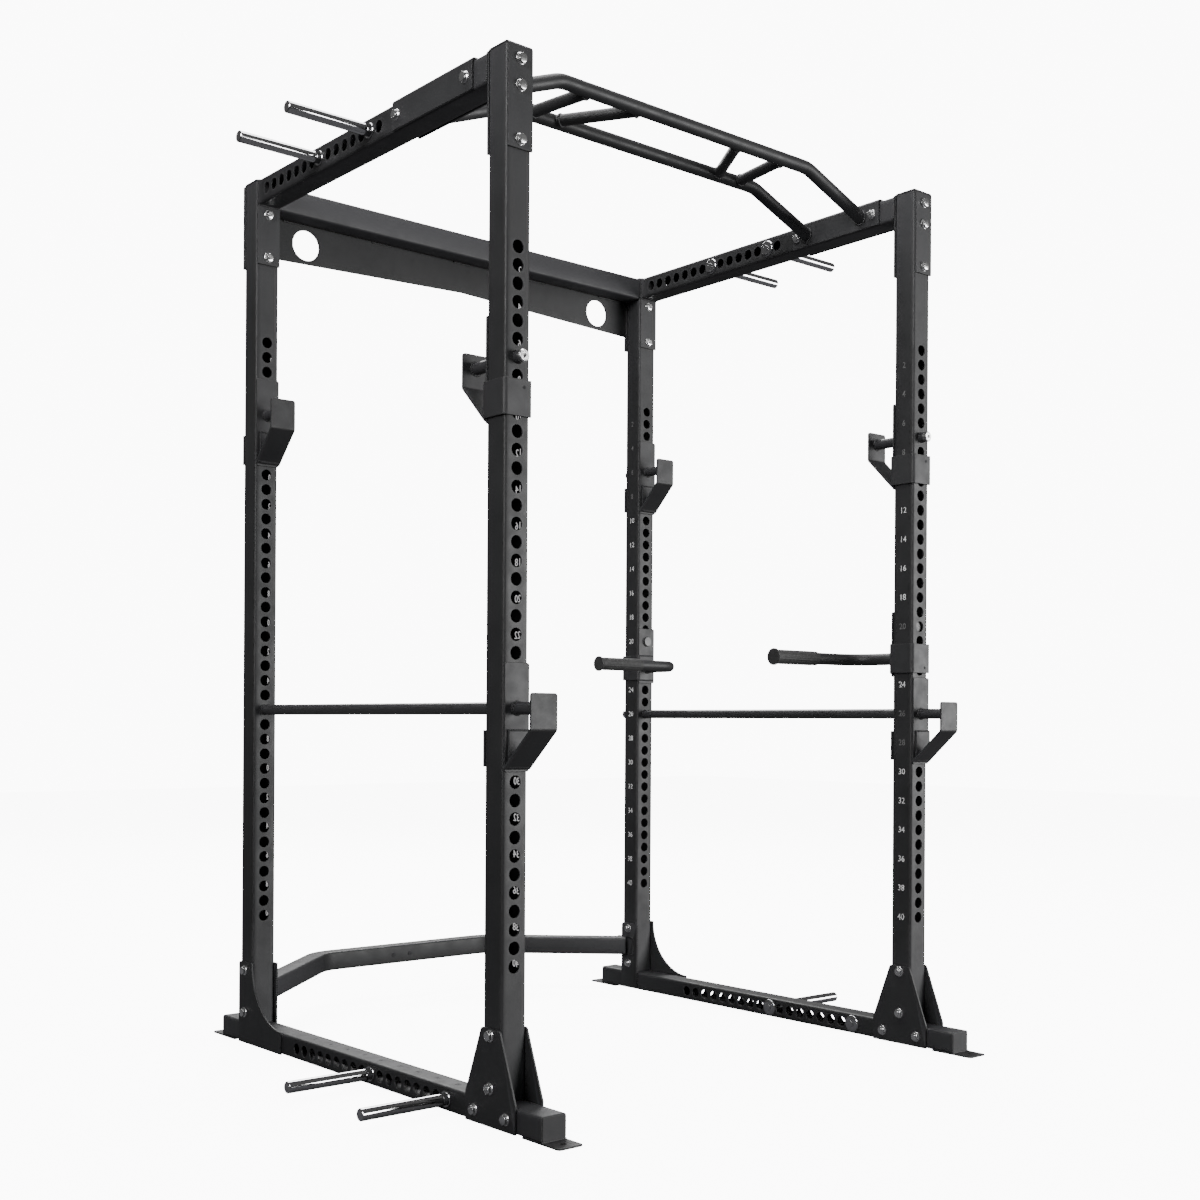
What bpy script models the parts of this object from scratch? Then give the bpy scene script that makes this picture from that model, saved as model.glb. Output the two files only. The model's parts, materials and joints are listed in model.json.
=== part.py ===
"""Power cage: a bolted steel frame with adjustable hooks, safety bars and dip handles.

Units are metres, +Z is up, +X is to the right of someone who faces the cage from the front,
and the front is at -Y.  The origin is on the floor, under the middle of the whole object.
"""
from math import cos, pi, radians, sin

import bmesh
import bpy
from mathutils import Matrix, Vector

# ---- driving sizes ------------------------------------------------------------------------
SPAN_X = 1.254              # between the centres of the left and right uprights
SPAN_Y = 1.015              # between the centres of the front and rear uprights
HEIGHT = 2.116              # floor to the top of the corner brackets
TUBE = 0.060                # outside width of the square frame tube
WALL = 0.003                # wall of every hollow tube
PLATE = 0.005               # thickness of every steel plate
GAP = 0.0003                # between parts that touch

PITCH = 0.036               # between the centres of neighbouring holes
HOLE = 0.027                # hole diameter, measured across the flats of the hole's outline
UPRIGHT_HOLE_SIDES = 6      # the holes' outlines are simple, and no smaller than the round holes
SIDE_HOLE_SIDES = 4
BOLT_HOLE_SIDES = 4
ANCHOR_HOLE_SIDES = 8
TOP_HOLE_DROP = 0.396       # first hole of an upright below the top of the brackets
LOWEST_HOLE = 0.300         # no hole is nearer to the floor

# base tubes, one under each pair of uprights
BASE_HEIGHT = 0.050
BASE_LIFT = 0.003           # the tube's underside above the floor
BASE_FRONT = 0.157          # overhang ahead of the front uprights' centres
BASE_REAR = 0.124           # overhang behind the rear uprights' centres
FOOT_REACH_FRONT = 0.053    # how far a foot plate shows beyond the tube
FOOT_REACH_REAR = 0.055
FOOT_UNDER = 0.060          # how far a foot plate runs back under the tube
FOOT_THICK = 0.004
ANCHOR_HOLE = 0.012         # diameter of the hole in each foot plate
BASE_FIRST_HOLE = 0.248     # from the rear upright's centre forward to the first hole
BASE_HOLE_MARGIN = 0.050    # at least this from the last hole to the front gussets

# top side beams with their corner brackets
BEAM_DROP = 0.004           # top of the beam below the top of the brackets
BRACKET_LEG = 0.207         # height of a bracket's legs
BEAM_FIRST_HOLE = 0.078     # from the rear upright's centre forward to the first hole
BEAM_HOLE_MARGIN = 0.040    # at least this from the last hole to the saddle
LEG_BOLT_BELOW_BEAM = 0.020 # upper bolt of a bracket's leg below the beam
LEG_BOLT_SPACING = 0.105

# fasteners
BOLT = 0.012
BOLT_CLEAR = 0.0015         # radial clearance around a bolt
BOLT_HEAD = 0.022
BOLT_HEAD_THICK = 0.009

# front and rear gussets
GUSSET_TOP = 0.195
GUSSET_HALF_BASE = 0.082
GUSSET_SHOULDER = 0.059     # height where a front gusset's slope ends
GUSSET_BOLT_HEIGHTS = (0.181, 0.078)
GUSSET_BASE_BOLT = 0.052    # base bolts ahead of and behind the upright's centre
REAR_GUSSET_TOP = 0.201
REAR_GUSSET_REACH = 0.180
REAR_GUSSET_RADIUS = 0.145
REAR_GUSSET_STEPS = 8       # flats along its quarter arc

# lower rear crossmember, bowed backwards
BOW_TUBE = 0.050
BOW_FLOOR = 0.105           # underside above the floor
BOW_BACK = 0.300            # centre line behind the rear uprights' centres
BOW_START_BACK = 0.012      # centre line at the end plates, behind the uprights' centres
BOW_LEG_ACROSS = 0.346      # bend, from the upright's centre
BOW_BEND_RADIUS = 0.110
BOW_BEND_STEPS = 5
BOW_PLATE_FRONT = 0.038
BOW_PLATE_REAR = 0.030
BOW_PLATE_TOP = 0.197
BOW_PLATE_LIFT = 0.006

# upper rear crossmember with its hanging plate
REAR_PLATE_END_DROP = 0.165     # plate's lower edge below the top of the brackets, at its ends
REAR_PLATE_MIDDLE_DROP = 0.143
REAR_PLATE_FILLET = 0.012
REAR_PLATE_FILLET_STEPS = 4
PORT_DIAMETER = 0.076
PORT_ACROSS = 0.143         # port's centre from the upright's centre
PORT_DROP = 0.113
PORT_SIDES = 20

# pull-up bar
GRIP_BAR = 0.032
GRIP_BAR_RISE = 0.046       # above the top of the brackets
GRIP_FRONT_FROM_BOLT = 0.036
GRIP_REAR_FROM_BOLT = 0.033
GRIP_BEND_ACROSS = 0.237    # bend, from the upright's centre
GRIP_BEND_RADIUS = 0.090
GRIP_BEND_STEPS = 3
SADDLE_START = 0.080        # from the front uprights' centres
SADDLE_FIRST_BOLT = 0.103
SADDLE_BOLT_STEPS = 7       # bolts are this many hole pitches apart
SADDLE_BEYOND_BOLT = 0.016
STRUT = 0.027
STRUT_SIDES = 8
STRUTS = ((0.058, 0.085), (0.128, 0.240))   # inwards from the bend, at the rear and the front bar

# weight storage pegs
PEG = 0.0255
PEG_SIDES = 10
PEG_LENGTH = 0.204          # outside the tube
PEG_WASHER = 0.044
PEG_WASHER_THICK = 0.007
PEG_COLLAR = 0.034
PEG_COLLAR_THICK = 0.004
PEG_CHAMFER = 0.0012
BEAM_REAR_PEG_HOLE = 8
BASE_REAR_PEG_HOLE = 10

# hooks, safety bars and dip handles share the pin, the back plate and the collar
PIN = 0.025
PIN_SIDES = 12
SLEEVE_CLEAR = 0.0010       # collar to upright
BACK_ABOVE = 0.089
BACK_BELOW = 0.124
BACK_WIDTH = 0.060
COLLAR_TOP = 0.043          # below the pin's centre
COLLAR_BOTTOM = 0.115
COLLAR_LAP = 0.004          # how far the collar stands in front of the back plate
HOOK_LIP_OFF = 0.078        # face of the upright to the inside of a hook's lip
SAFETY_LIP_OFF = 0.086      # the same on a safety bar
LIP_WIDTH = 0.064
LIP_ABOVE = 0.029
LIP_BELOW = 0.041
STRAP_ROOT = 0.010          # height of the sloping strap where it meets the back plate
PIN_THROUGH = 0.023         # pin beyond the far side of the upright
HOOK_HOLES = {"front": 7, "rear": 6}
SAFETY_HOLE = 26
SAFETY_THROUGH = 0.030      # rod beyond the rear upright
DIP_HOLE = 20
DIP_BACK_ABOVE = 0.038
DIP_DROP = 0.078            # handle tube below the pin
DIP_TUBE = 0.030
DIP_STAND_OFF = 0.146
DIP_BEND_RADIUS = 0.070
DIP_BEND_STEPS = 6
DIP_PIN_HEAD = 0.012        # pin in front of the upright
DIP_PIN_SHORT = 0.006       # the pin ends this far before the far side of the upright
DIP_REACH = 0.302           # upright centre to the end of the handle tube
DIP_GRIP = 0.150
DIP_GRIP_WALL = 0.003
DIP_GRIP_SIDES = 16
DIP_FLANGE = 0.042
DIP_FLANGE_THICK = 0.006

# ---- sizes that follow --------------------------------------------------------------------
CROSS_REAR = BOW_BACK + BOW_TUBE / 2
FRONT_REACH = BASE_FRONT + FOOT_REACH_FRONT
REAR_REACH = max(CROSS_REAR, BASE_REAR + FOOT_REACH_REAR)
FRONT_Y = -(SPAN_Y + REAR_REACH - FRONT_REACH) / 2
REAR_Y = FRONT_Y + SPAN_Y
HALF_X = SPAN_X / 2
HALF_TUBE = TUBE / 2
BASE_TOP = BASE_LIFT + BASE_HEIGHT
BASE_MIDDLE = BASE_LIFT + BASE_HEIGHT / 2
BEAM_TOP = HEIGHT - BEAM_DROP
BEAM_MIDDLE = BEAM_TOP - HALF_TUBE
UPRIGHT_TOP = HEIGHT - PLATE - GAP
TOP_HOLE_Z = HEIGHT - TOP_HOLE_DROP
LEG_BOLT_DROPS = (BEAM_DROP + TUBE + LEG_BOLT_BELOW_BEAM,
                  BEAM_DROP + TUBE + LEG_BOLT_BELOW_BEAM + LEG_BOLT_SPACING)
SADDLE_LAST_BOLT = SADDLE_FIRST_BOLT + SADDLE_BOLT_STEPS * PITCH
SADDLE_END = SADDLE_LAST_BOLT + SADDLE_BEYOND_BOLT
GRIP_BAR_Z = HEIGHT + GRIP_BAR_RISE
GRIP_FRONT_Y = FRONT_Y + SADDLE_FIRST_BOLT + GRIP_FRONT_FROM_BOLT
GRIP_REAR_Y = FRONT_Y + SADDLE_LAST_BOLT - GRIP_REAR_FROM_BOLT
GRIP_BEND_X = HALF_X - GRIP_BEND_ACROSS
LEG_OUT = HALF_TUBE + GAP + PLATE
SIDES = {"left": -1, "right": 1}
ENDS = {"front": FRONT_Y, "rear": REAR_Y}


def holes_in(length):
    """How many holes, one pitch apart, fit along a length that starts at a hole's centre."""
    return int(length / PITCH) + 1


HOLE_COUNT = holes_in(TOP_HOLE_Z - LOWEST_HOLE)
BASE_HOLES = holes_in(SPAN_Y - BASE_FIRST_HOLE - GUSSET_HALF_BASE - BASE_HOLE_MARGIN)
BEAM_HOLES = holes_in(SPAN_Y - BEAM_FIRST_HOLE - SADDLE_END - BEAM_HOLE_MARGIN)
BEAM_PEG_HOLES = (BEAM_REAR_PEG_HOLE, BEAM_HOLES - 1)
BASE_PEG_HOLES = (BASE_REAR_PEG_HOLE, BASE_HOLES)

FINISHES = {
    "powder_coat": ((0.022, 0.022, 0.024, 1.0), 0.0, 0.45),
    "zinc": ((0.62, 0.62, 0.64, 1.0), 1.0, 0.28),
    "rubber": ((0.018, 0.018, 0.018, 1.0), 0.0, 0.75),
}


def hole_lines(middle, places, direction, reach):
    """Ends of cutters along X or Y, centred on middle, one for each (place across it, height)."""
    lines = []
    for place, z in places:
        if direction == "X":
            lines.append(((middle - reach, place, z), (middle + reach, place, z)))
        else:
            lines.append(((place, middle - reach, z), (place, middle + reach, z)))
    return lines


def hole_z(number):
    """Height of an upright's numbered hole."""
    return TOP_HOLE_Z - (number - 1) * PITCH


def beam_hole_y(number):
    """Place of a top beam's hole, counted from the rear."""
    return REAR_Y - BEAM_FIRST_HOLE - (number - 1) * PITCH


def base_hole_y(number):
    """Place of a base tube's hole, counted from the rear."""
    return REAR_Y - BASE_FIRST_HOLE - (number - 1) * PITCH


def saddle_bolts():
    """Places of a saddle's two bolts."""
    return (FRONT_Y + SADDLE_FIRST_BOLT, FRONT_Y + SADDLE_LAST_BOLT)


# ---- modelling helpers --------------------------------------------------------------------
def start_scene():
    for old in list(bpy.data.objects):
        bpy.data.objects.remove(old)
    made = {}
    for title in ("power_cage", "cutters"):
        made[title] = bpy.data.collections.new(title)
        bpy.context.scene.collection.children.link(made[title])
    return made


COLLECTIONS = start_scene()


def from_bmesh(name, shape):
    """An object in the parts collection from a bmesh, with its faces pointing out."""
    bmesh.ops.recalc_face_normals(shape, faces=shape.faces)
    if shape.calc_volume(signed=True) < 0:
        bmesh.ops.reverse_faces(shape, faces=shape.faces)
    mesh = bpy.data.meshes.new(name)
    shape.to_mesh(mesh)
    shape.free()
    made = bpy.data.objects.new(name, mesh)
    COLLECTIONS["power_cage"].objects.link(made)
    return made


def block(name, low, high):
    """A box between two corners."""
    low, high = Vector(low), Vector(high)
    place = Matrix.Translation((low + high) / 2) @ Matrix.Diagonal((*(high - low), 1.0))
    shape = bmesh.new()
    bmesh.ops.create_cube(shape, size=1.0, matrix=place)
    return from_bmesh(name, shape)


def along(start, end):
    """A matrix whose Z axis runs from start to end, centred between them."""
    start, end = Vector(start), Vector(end)
    turn = (end - start).to_track_quat("Z", "X").to_matrix().to_4x4()
    return Matrix.Translation((start + end) / 2) @ turn


def rods(name, lines, radius, sides):
    """Round rods, one for each (start, end) pair, as one mesh."""
    shape = bmesh.new()
    square_on = Matrix.Rotation(pi / 4 if sides == 4 else 0.0, 4, "Z")
    for start, end in lines:
        length = (Vector(end) - Vector(start)).length
        bmesh.ops.create_cone(shape, cap_ends=True, segments=sides, radius1=radius, radius2=radius,
                              depth=length, matrix=along(start, end) @ square_on)
    return from_bmesh(name, shape)


def drill(made, title, lines, diameter, sides):
    """Cuts holes whose flat sides are no closer than the round hole's."""
    cut(made, rods(f"{made.name}_{title}", lines, diameter / 2 / cos(pi / sides), sides))


def drill_bolts(made, title, lines):
    drill(made, title, lines, BOLT + 2 * BOLT_CLEAR, BOLT_HOLE_SIDES)


def bake(made):
    """Swap a curve for a mesh with the same name, place and collection."""
    graph = bpy.context.evaluated_depsgraph_get()
    name = made.name
    mesh = bpy.data.meshes.new_from_object(made.evaluated_get(graph))
    shape = bmesh.new()
    shape.from_mesh(mesh)
    bmesh.ops.remove_doubles(shape, verts=shape.verts, dist=0.00001)
    shape.transform(made.matrix_world)
    bpy.data.objects.remove(made)
    return from_bmesh(name, shape)


def plate(name, outlines, thickness, turn):
    """A flat plate: closed outlines in its own XY plane, turned and moved into place."""
    drawing = bpy.data.curves.new(name, "CURVE")
    drawing.dimensions = "2D"
    drawing.fill_mode = "BOTH"
    drawing.extrude = thickness / 2
    for outline in outlines:
        line = drawing.splines.new("POLY")
        line.points.add(len(outline) - 1)
        for point, (x, y) in zip(line.points, outline):
            point.co = (x, y, 0.0, 1.0)
        line.use_cyclic_u = True
    made = bpy.data.objects.new(name, drawing)
    COLLECTIONS["power_cage"].objects.link(made)
    made.matrix_world = turn
    bpy.context.view_layer.update()
    return bake(made)


def across_x(x):
    """Puts a plate's drawing in the YZ plane at x: drawing X is Y, drawing Y is Z."""
    return Matrix(((0, 0, 1, x), (1, 0, 0, 0), (0, 1, 0, 0), (0, 0, 0, 1)))


def across_y(y):
    """Puts a plate's drawing in the XZ plane at y: drawing X is X, drawing Y is Z."""
    return Matrix(((1, 0, 0, 0), (0, 0, -1, y), (0, 1, 0, 0), (0, 0, 0, 1)))


def across_z(z):
    """Leaves a plate's drawing flat at height z."""
    return Matrix.Translation((0, 0, z))


def arc(centre, radius, start, end, steps):
    """Points of an arc, angles in degrees."""
    points = []
    for step in range(steps + 1):
        angle = radians(start + (end - start) * step / steps)
        points.append((centre[0] + radius * cos(angle), centre[1] + radius * sin(angle)))
    return points


def rounded(corners, radius, steps):
    """A path of 3-D corners whose inner corners are rounded by arcs."""
    corners = [Vector(corner) for corner in corners]
    path = [corners[0]]
    for before, corner, after in zip(corners, corners[1:], corners[2:]):
        arriving = (corner - before).normalized()
        leaving = (after - corner).normalized()
        turn = arriving.angle(leaving)
        cut_back = radius * sin(turn / 2) / cos(turn / 2)
        start = corner - arriving * cut_back
        towards = (leaving - arriving).normalized()
        centre = corner + towards * (radius / cos(turn / 2))
        spoke = start - centre
        axis = spoke.cross(arriving)
        for step in range(steps + 1):
            path.append(centre + Matrix.Rotation(turn * step / steps, 3, axis) @ spoke)
    path.append(corners[-1])
    return path


def round_tube(name, path, diameter, resolution):
    """A round bar along a path."""
    wire = bpy.data.curves.new(name, "CURVE")
    wire.dimensions = "3D"
    wire.bevel_depth = diameter / 2
    wire.bevel_resolution = resolution
    wire.use_fill_caps = True
    line = wire.splines.new("POLY")
    line.points.add(len(path) - 1)
    for point, place in zip(line.points, path):
        point.co = (*place, 1.0)
    made = bpy.data.objects.new(name, wire)
    COLLECTIONS["power_cage"].objects.link(made)
    bpy.context.view_layer.update()
    return bake(made)


def turned(name, profile, start, end, sides):
    """A turned piece: (radius, distance) pairs spun about the line from start to end."""
    shape = bmesh.new()
    points = [shape.verts.new((radius, 0.0, distance)) for radius, distance in profile]
    for first, second in zip(points, points[1:]):
        shape.edges.new((first, second))
    mesh = bpy.data.meshes.new(name)
    shape.to_mesh(mesh)
    shape.free()
    made = bpy.data.objects.new(name, mesh)
    COLLECTIONS["power_cage"].objects.link(made)
    spin = made.modifiers.new("spin", "SCREW")
    spin.steps = sides
    spin.render_steps = sides
    spin.use_merge_vertices = True
    spin.merge_threshold = 0.00001
    spin.use_normal_calculate = True
    length = (Vector(end) - Vector(start)).length
    made.matrix_world = along(start, end) @ Matrix.Translation((0, 0, -length / 2))
    bpy.context.view_layer.update()
    return bake(made)


def combine(made, tool, operation):
    """Adds a live Boolean and files its tool with the cutters."""
    tool.hide_render = True
    tool.display_type = "WIRE"
    COLLECTIONS["power_cage"].objects.unlink(tool)
    COLLECTIONS["cutters"].objects.link(tool)
    step = made.modifiers.new(tool.name, "BOOLEAN")
    step.operation = operation
    step.object = tool
    step.solver = "EXACT"


def cut(made, tool):
    combine(made, tool, "DIFFERENCE")


def weld(made, tool):
    combine(made, tool, "UNION")


def paint(made, finish):
    """Gives an object its own Principled material."""
    colour, metallic, roughness = FINISHES[finish]
    material = bpy.data.materials.new(f"{made.name}_{finish}")
    material.use_nodes = True
    shader = material.node_tree.nodes["Principled BSDF"]
    shader.inputs["Base Color"].default_value = colour
    shader.inputs["Metallic"].default_value = metallic
    shader.inputs["Roughness"].default_value = roughness
    made.data.materials.clear()
    made.data.materials.append(material)
    return made


# ---- uprights -----------------------------------------------------------------------------
def make_upright(name, x, y):
    """A square tube with two rows of facing holes, open at both ends."""
    made = block(name, (x - HALF_TUBE, y - HALF_TUBE, BASE_TOP + GAP),
                 (x + HALF_TUBE, y + HALF_TUBE, UPRIGHT_TOP))
    inside = HALF_TUBE - WALL
    cut(made, block(f"{name}_bore", (x - inside, y - inside, 0.0), (x + inside, y + inside, HEIGHT)))
    holes = [(x, hole_z(number)) for number in range(1, HOLE_COUNT + 1)]
    drill(made, "holes", hole_lines(y, holes, "Y", TUBE), HOLE, UPRIGHT_HOLE_SIDES)
    bracket_bolts = [(x, HEIGHT - drop) for drop in LEG_BOLT_DROPS]
    drill_bolts(made, "bracket_bolt_holes", hole_lines(y, bracket_bolts, "Y", TUBE))
    gusset_bolts = [(y, z) for z in GUSSET_BOLT_HEIGHTS]
    drill_bolts(made, "gusset_bolt_holes", hole_lines(x, gusset_bolts, "X", TUBE))
    return paint(made, "powder_coat")


# ---- base tubes ---------------------------------------------------------------------------
def make_base(name, x):
    """A low tube from front to back with a foot plate welded under each end."""
    front = FRONT_Y - BASE_FRONT
    rear = REAR_Y + BASE_REAR
    made = block(name, (x - HALF_TUBE, front, BASE_LIFT), (x + HALF_TUBE, rear, BASE_TOP))
    feet = (("front", front - FOOT_REACH_FRONT, front + FOOT_UNDER),
            ("rear", rear - FOOT_UNDER, rear + FOOT_REACH_REAR))
    for end, start, stop in feet:
        weld(made, block(f"{name}_{end}_foot", (x - HALF_TUBE, start, 0.0),
                         (x + HALF_TUBE, stop, FOOT_THICK)))
    inside = HALF_TUBE - WALL
    cut(made, block(f"{name}_bore", (x - inside, front - WALL, BASE_LIFT + WALL),
                    (x + inside, rear + WALL, BASE_TOP - WALL)))
    holes = [(base_hole_y(number), BASE_MIDDLE) for number in range(1, BASE_HOLES + 1)]
    drill(made, "holes", hole_lines(x, holes, "X", TUBE), HOLE, SIDE_HOLE_SIDES)
    bolts = [(FRONT_Y + side * GUSSET_BASE_BOLT, BASE_MIDDLE) for side in (-1, 1)]
    drill_bolts(made, "bolt_holes", hole_lines(x, bolts, "X", TUBE))
    anchors = (front - FOOT_REACH_FRONT / 2, rear + FOOT_REACH_REAR / 2)
    lines = [((x, y, -FOOT_THICK), (x, y, 2 * FOOT_THICK)) for y in anchors]
    drill(made, "anchor_holes", lines, ANCHOR_HOLE, ANCHOR_HOLE_SIDES)
    return paint(made, "powder_coat")


# ---- top side beams -----------------------------------------------------------------------
def make_top_beam(name, x):
    """A side beam whose ends are welded to upside-down U brackets that sit on the uprights."""
    made = block(name, (x - HALF_TUBE, FRONT_Y + LEG_OUT - PLATE / 2, BEAM_MIDDLE - HALF_TUBE),
                 (x + HALF_TUBE, REAR_Y - LEG_OUT + PLATE / 2, BEAM_TOP))
    for end, y in ENDS.items():
        weld(made, block(f"{name}_{end}_bracket", (x - HALF_TUBE, y - LEG_OUT, HEIGHT - BRACKET_LEG),
                         (x + HALF_TUBE, y + LEG_OUT, HEIGHT)))
    for end, y in ENDS.items():
        socket = HALF_TUBE + GAP
        cut(made, block(f"{name}_{end}_socket", (x - TUBE, y - socket, 0.0),
                        (x + TUBE, y + socket, HEIGHT - PLATE)))
        bolts = [(x, HEIGHT - drop) for drop in LEG_BOLT_DROPS]
        drill_bolts(made, f"{end}_bolt_holes", hole_lines(y, bolts, "Y", TUBE))
    inside = HALF_TUBE - WALL
    cut(made, block(f"{name}_bore", (x - inside, FRONT_Y + LEG_OUT, BEAM_MIDDLE - inside),
                    (x + inside, REAR_Y - LEG_OUT, BEAM_MIDDLE + inside)))
    holes = [(beam_hole_y(number), BEAM_MIDDLE) for number in range(1, BEAM_HOLES + 1)]
    drill(made, "holes", hole_lines(x, holes, "X", TUBE), HOLE, SIDE_HOLE_SIDES)
    bolts = [(y, BEAM_MIDDLE) for y in saddle_bolts()]
    drill_bolts(made, "saddle_bolt_holes", hole_lines(x, bolts, "X", TUBE))
    return paint(made, "powder_coat")


# ---- rear crossmembers --------------------------------------------------------------------
def make_rear_top_crossmember():
    """A tube between the rear uprights, welded to a hanging plate that laps their backs."""
    name = "rear_top_crossmember"
    inner = HALF_X - HALF_TUBE - GAP
    back = REAR_Y + LEG_OUT + GAP
    made = block(name, (-inner, REAR_Y - HALF_TUBE, BEAM_MIDDLE - HALF_TUBE),
                 (inner, back + PLATE / 2, BEAM_TOP))
    outer = HALF_X + HALF_TUBE
    end_z = HEIGHT - REAR_PLATE_END_DROP
    tab_z = HEIGHT - BRACKET_LEG
    half = [(0.0, HEIGHT - REAR_PLATE_MIDDLE_DROP), (inner - REAR_PLATE_FILLET, end_z)]
    corner = (inner - REAR_PLATE_FILLET, end_z - REAR_PLATE_FILLET)
    half += arc(corner, REAR_PLATE_FILLET, 90, 0, REAR_PLATE_FILLET_STEPS)[1:]
    half += [(inner, tab_z), (outer, tab_z), (outer, BEAM_TOP)]
    outline = half + [(-x, z) for x, z in reversed(half[1:])]
    sheet = plate(f"{name}_plate", [outline], PLATE, across_y(back + PLATE / 2))
    weld(made, sheet)
    inside = HALF_TUBE - WALL
    cut(made, block(f"{name}_bore", (-HALF_X, REAR_Y - inside, BEAM_MIDDLE - inside),
                    (HALF_X, back - WALL, BEAM_MIDDLE + inside)))
    ports = [(sign * (HALF_X - PORT_ACROSS), HEIGHT - PORT_DROP) for sign in SIDES.values()]
    drill(made, "ports", hole_lines(back, ports, "Y", TUBE), PORT_DIAMETER, PORT_SIDES)
    bolts = [(sign * HALF_X, HEIGHT - drop) for sign in SIDES.values() for drop in LEG_BOLT_DROPS]
    drill_bolts(made, "bolt_holes", hole_lines(back, bolts, "Y", TUBE))
    return paint(made, "powder_coat")


def band(path, half_width):
    """Closed outline of a strip of constant width along a flat path."""
    sides = ([], [])
    for index, place in enumerate(path):
        before = path[max(index - 1, 0)]
        after = path[min(index + 1, len(path) - 1)]
        arriving = (place - before).normalized() if index else (after - place).normalized()
        leaving = (after - place).normalized() if index < len(path) - 1 else arriving
        middle = (arriving + leaving).normalized()
        stretch = half_width / middle.dot(arriving)
        normal = Vector((-middle.y, middle.x, 0.0)) * stretch
        sides[0].append(place + normal)
        sides[1].append(place - normal)
    return [(p.x, p.y) for p in sides[0] + sides[1][::-1]]


def make_rear_bottom_crossmember():
    """A square tube bowed backwards between two end plates that bolt to the rear uprights."""
    name = "rear_bottom_crossmember"
    plate_in = HALF_X - LEG_OUT
    bend_x = HALF_X - BOW_LEG_ACROSS
    start_y = REAR_Y + BOW_START_BACK
    back_y = REAR_Y + BOW_BACK
    lean = (back_y - start_y) / (plate_in - bend_x)
    overrun = PLATE + BOW_TUBE
    end = (plate_in + overrun, start_y - lean * overrun)
    corners = [(-end[0], end[1], 0), (-bend_x, back_y, 0), (bend_x, back_y, 0), (end[0], end[1], 0)]
    path = rounded(corners, BOW_BEND_RADIUS, BOW_BEND_STEPS)
    middle = BOW_FLOOR + BOW_TUBE / 2
    made = plate(name, [band(path, BOW_TUBE / 2)], BOW_TUBE, across_z(middle))
    for side, sign in SIDES.items():
        near, far = sign * (plate_in + PLATE / 2), sign * SPAN_X
        cut(made, block(f"{name}_{side}_trim", (min(near, far), start_y - BOW_BACK, 0.0),
                        (max(near, far), start_y + BOW_BACK, 2 * middle)))
    front, rear = REAR_Y - BOW_PLATE_FRONT, REAR_Y + BOW_PLATE_REAR
    outline = [(front, BOW_PLATE_LIFT), (rear, BOW_PLATE_LIFT),
               (rear, BOW_PLATE_TOP), (front, BOW_PLATE_TOP)]
    for side, sign in SIDES.items():
        turn = across_x(sign * (plate_in + PLATE / 2))
        weld(made, plate(f"{name}_{side}_plate", [outline], PLATE, turn))
    bore = plate(f"{name}_bore", [band(path, BOW_TUBE / 2 - WALL)], BOW_TUBE - 2 * WALL, across_z(middle))
    cut(made, bore)
    bolts = [(REAR_Y, z) for z in GUSSET_BOLT_HEIGHTS]
    for side, sign in SIDES.items():
        drill_bolts(made, f"{side}_bolt_holes", hole_lines(sign * plate_in, bolts, "X", TUBE / 2))
    return paint(made, "powder_coat")


# ---- pull-up bar --------------------------------------------------------------------------
def make_pull_up_bar():
    """Two parallel bars bent down at both ends to saddles over the side beams, with angled grips."""
    name = "pull_up_bar"
    plate_in = HALF_X - LEG_OUT
    bars = []
    for end, y in (("front", GRIP_FRONT_Y), ("rear", GRIP_REAR_Y)):
        reach = plate_in + PLATE / 2
        corners = [(-reach, y, BEAM_MIDDLE), (-GRIP_BEND_X, y, GRIP_BAR_Z),
                   (GRIP_BEND_X, y, GRIP_BAR_Z), (reach, y, BEAM_MIDDLE)]
        path = rounded(corners, GRIP_BEND_RADIUS, GRIP_BEND_STEPS)
        bars.append(round_tube(f"{name}_{end}_bar", path, GRIP_BAR, 1))
    made = bars[0]
    made.name = name
    weld(made, bars[1])
    for sign in SIDES.values():
        for index, (rear_in, front_in) in enumerate(STRUTS):
            start = (sign * (GRIP_BEND_X - rear_in), GRIP_REAR_Y, GRIP_BAR_Z)
            end = (sign * (GRIP_BEND_X - front_in), GRIP_FRONT_Y, GRIP_BAR_Z)
            weld(made, rods(f"{name}_strut_{sign}_{index}", [(start, end)], STRUT / 2, STRUT_SIDES))
    roof = BEAM_TOP + GAP
    for side, sign in SIDES.items():
        x = sign * HALF_X
        weld(made, block(f"{name}_{side}_saddle",
                         (x - LEG_OUT, FRONT_Y + SADDLE_START, BEAM_MIDDLE - HALF_TUBE),
                         (x + LEG_OUT, FRONT_Y + SADDLE_END, roof + PLATE)))
        wide = HALF_TUBE + GAP
        cut(made, block(f"{name}_{side}_slot", (x - wide, FRONT_Y, BEAM_MIDDLE - TUBE),
                        (x + wide, REAR_Y, roof)))
        bolts = [(y, BEAM_MIDDLE) for y in saddle_bolts()]
        drill_bolts(made, f"{side}_bolt_holes", hole_lines(x, bolts, "X", TUBE))
    return paint(made, "powder_coat")


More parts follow.
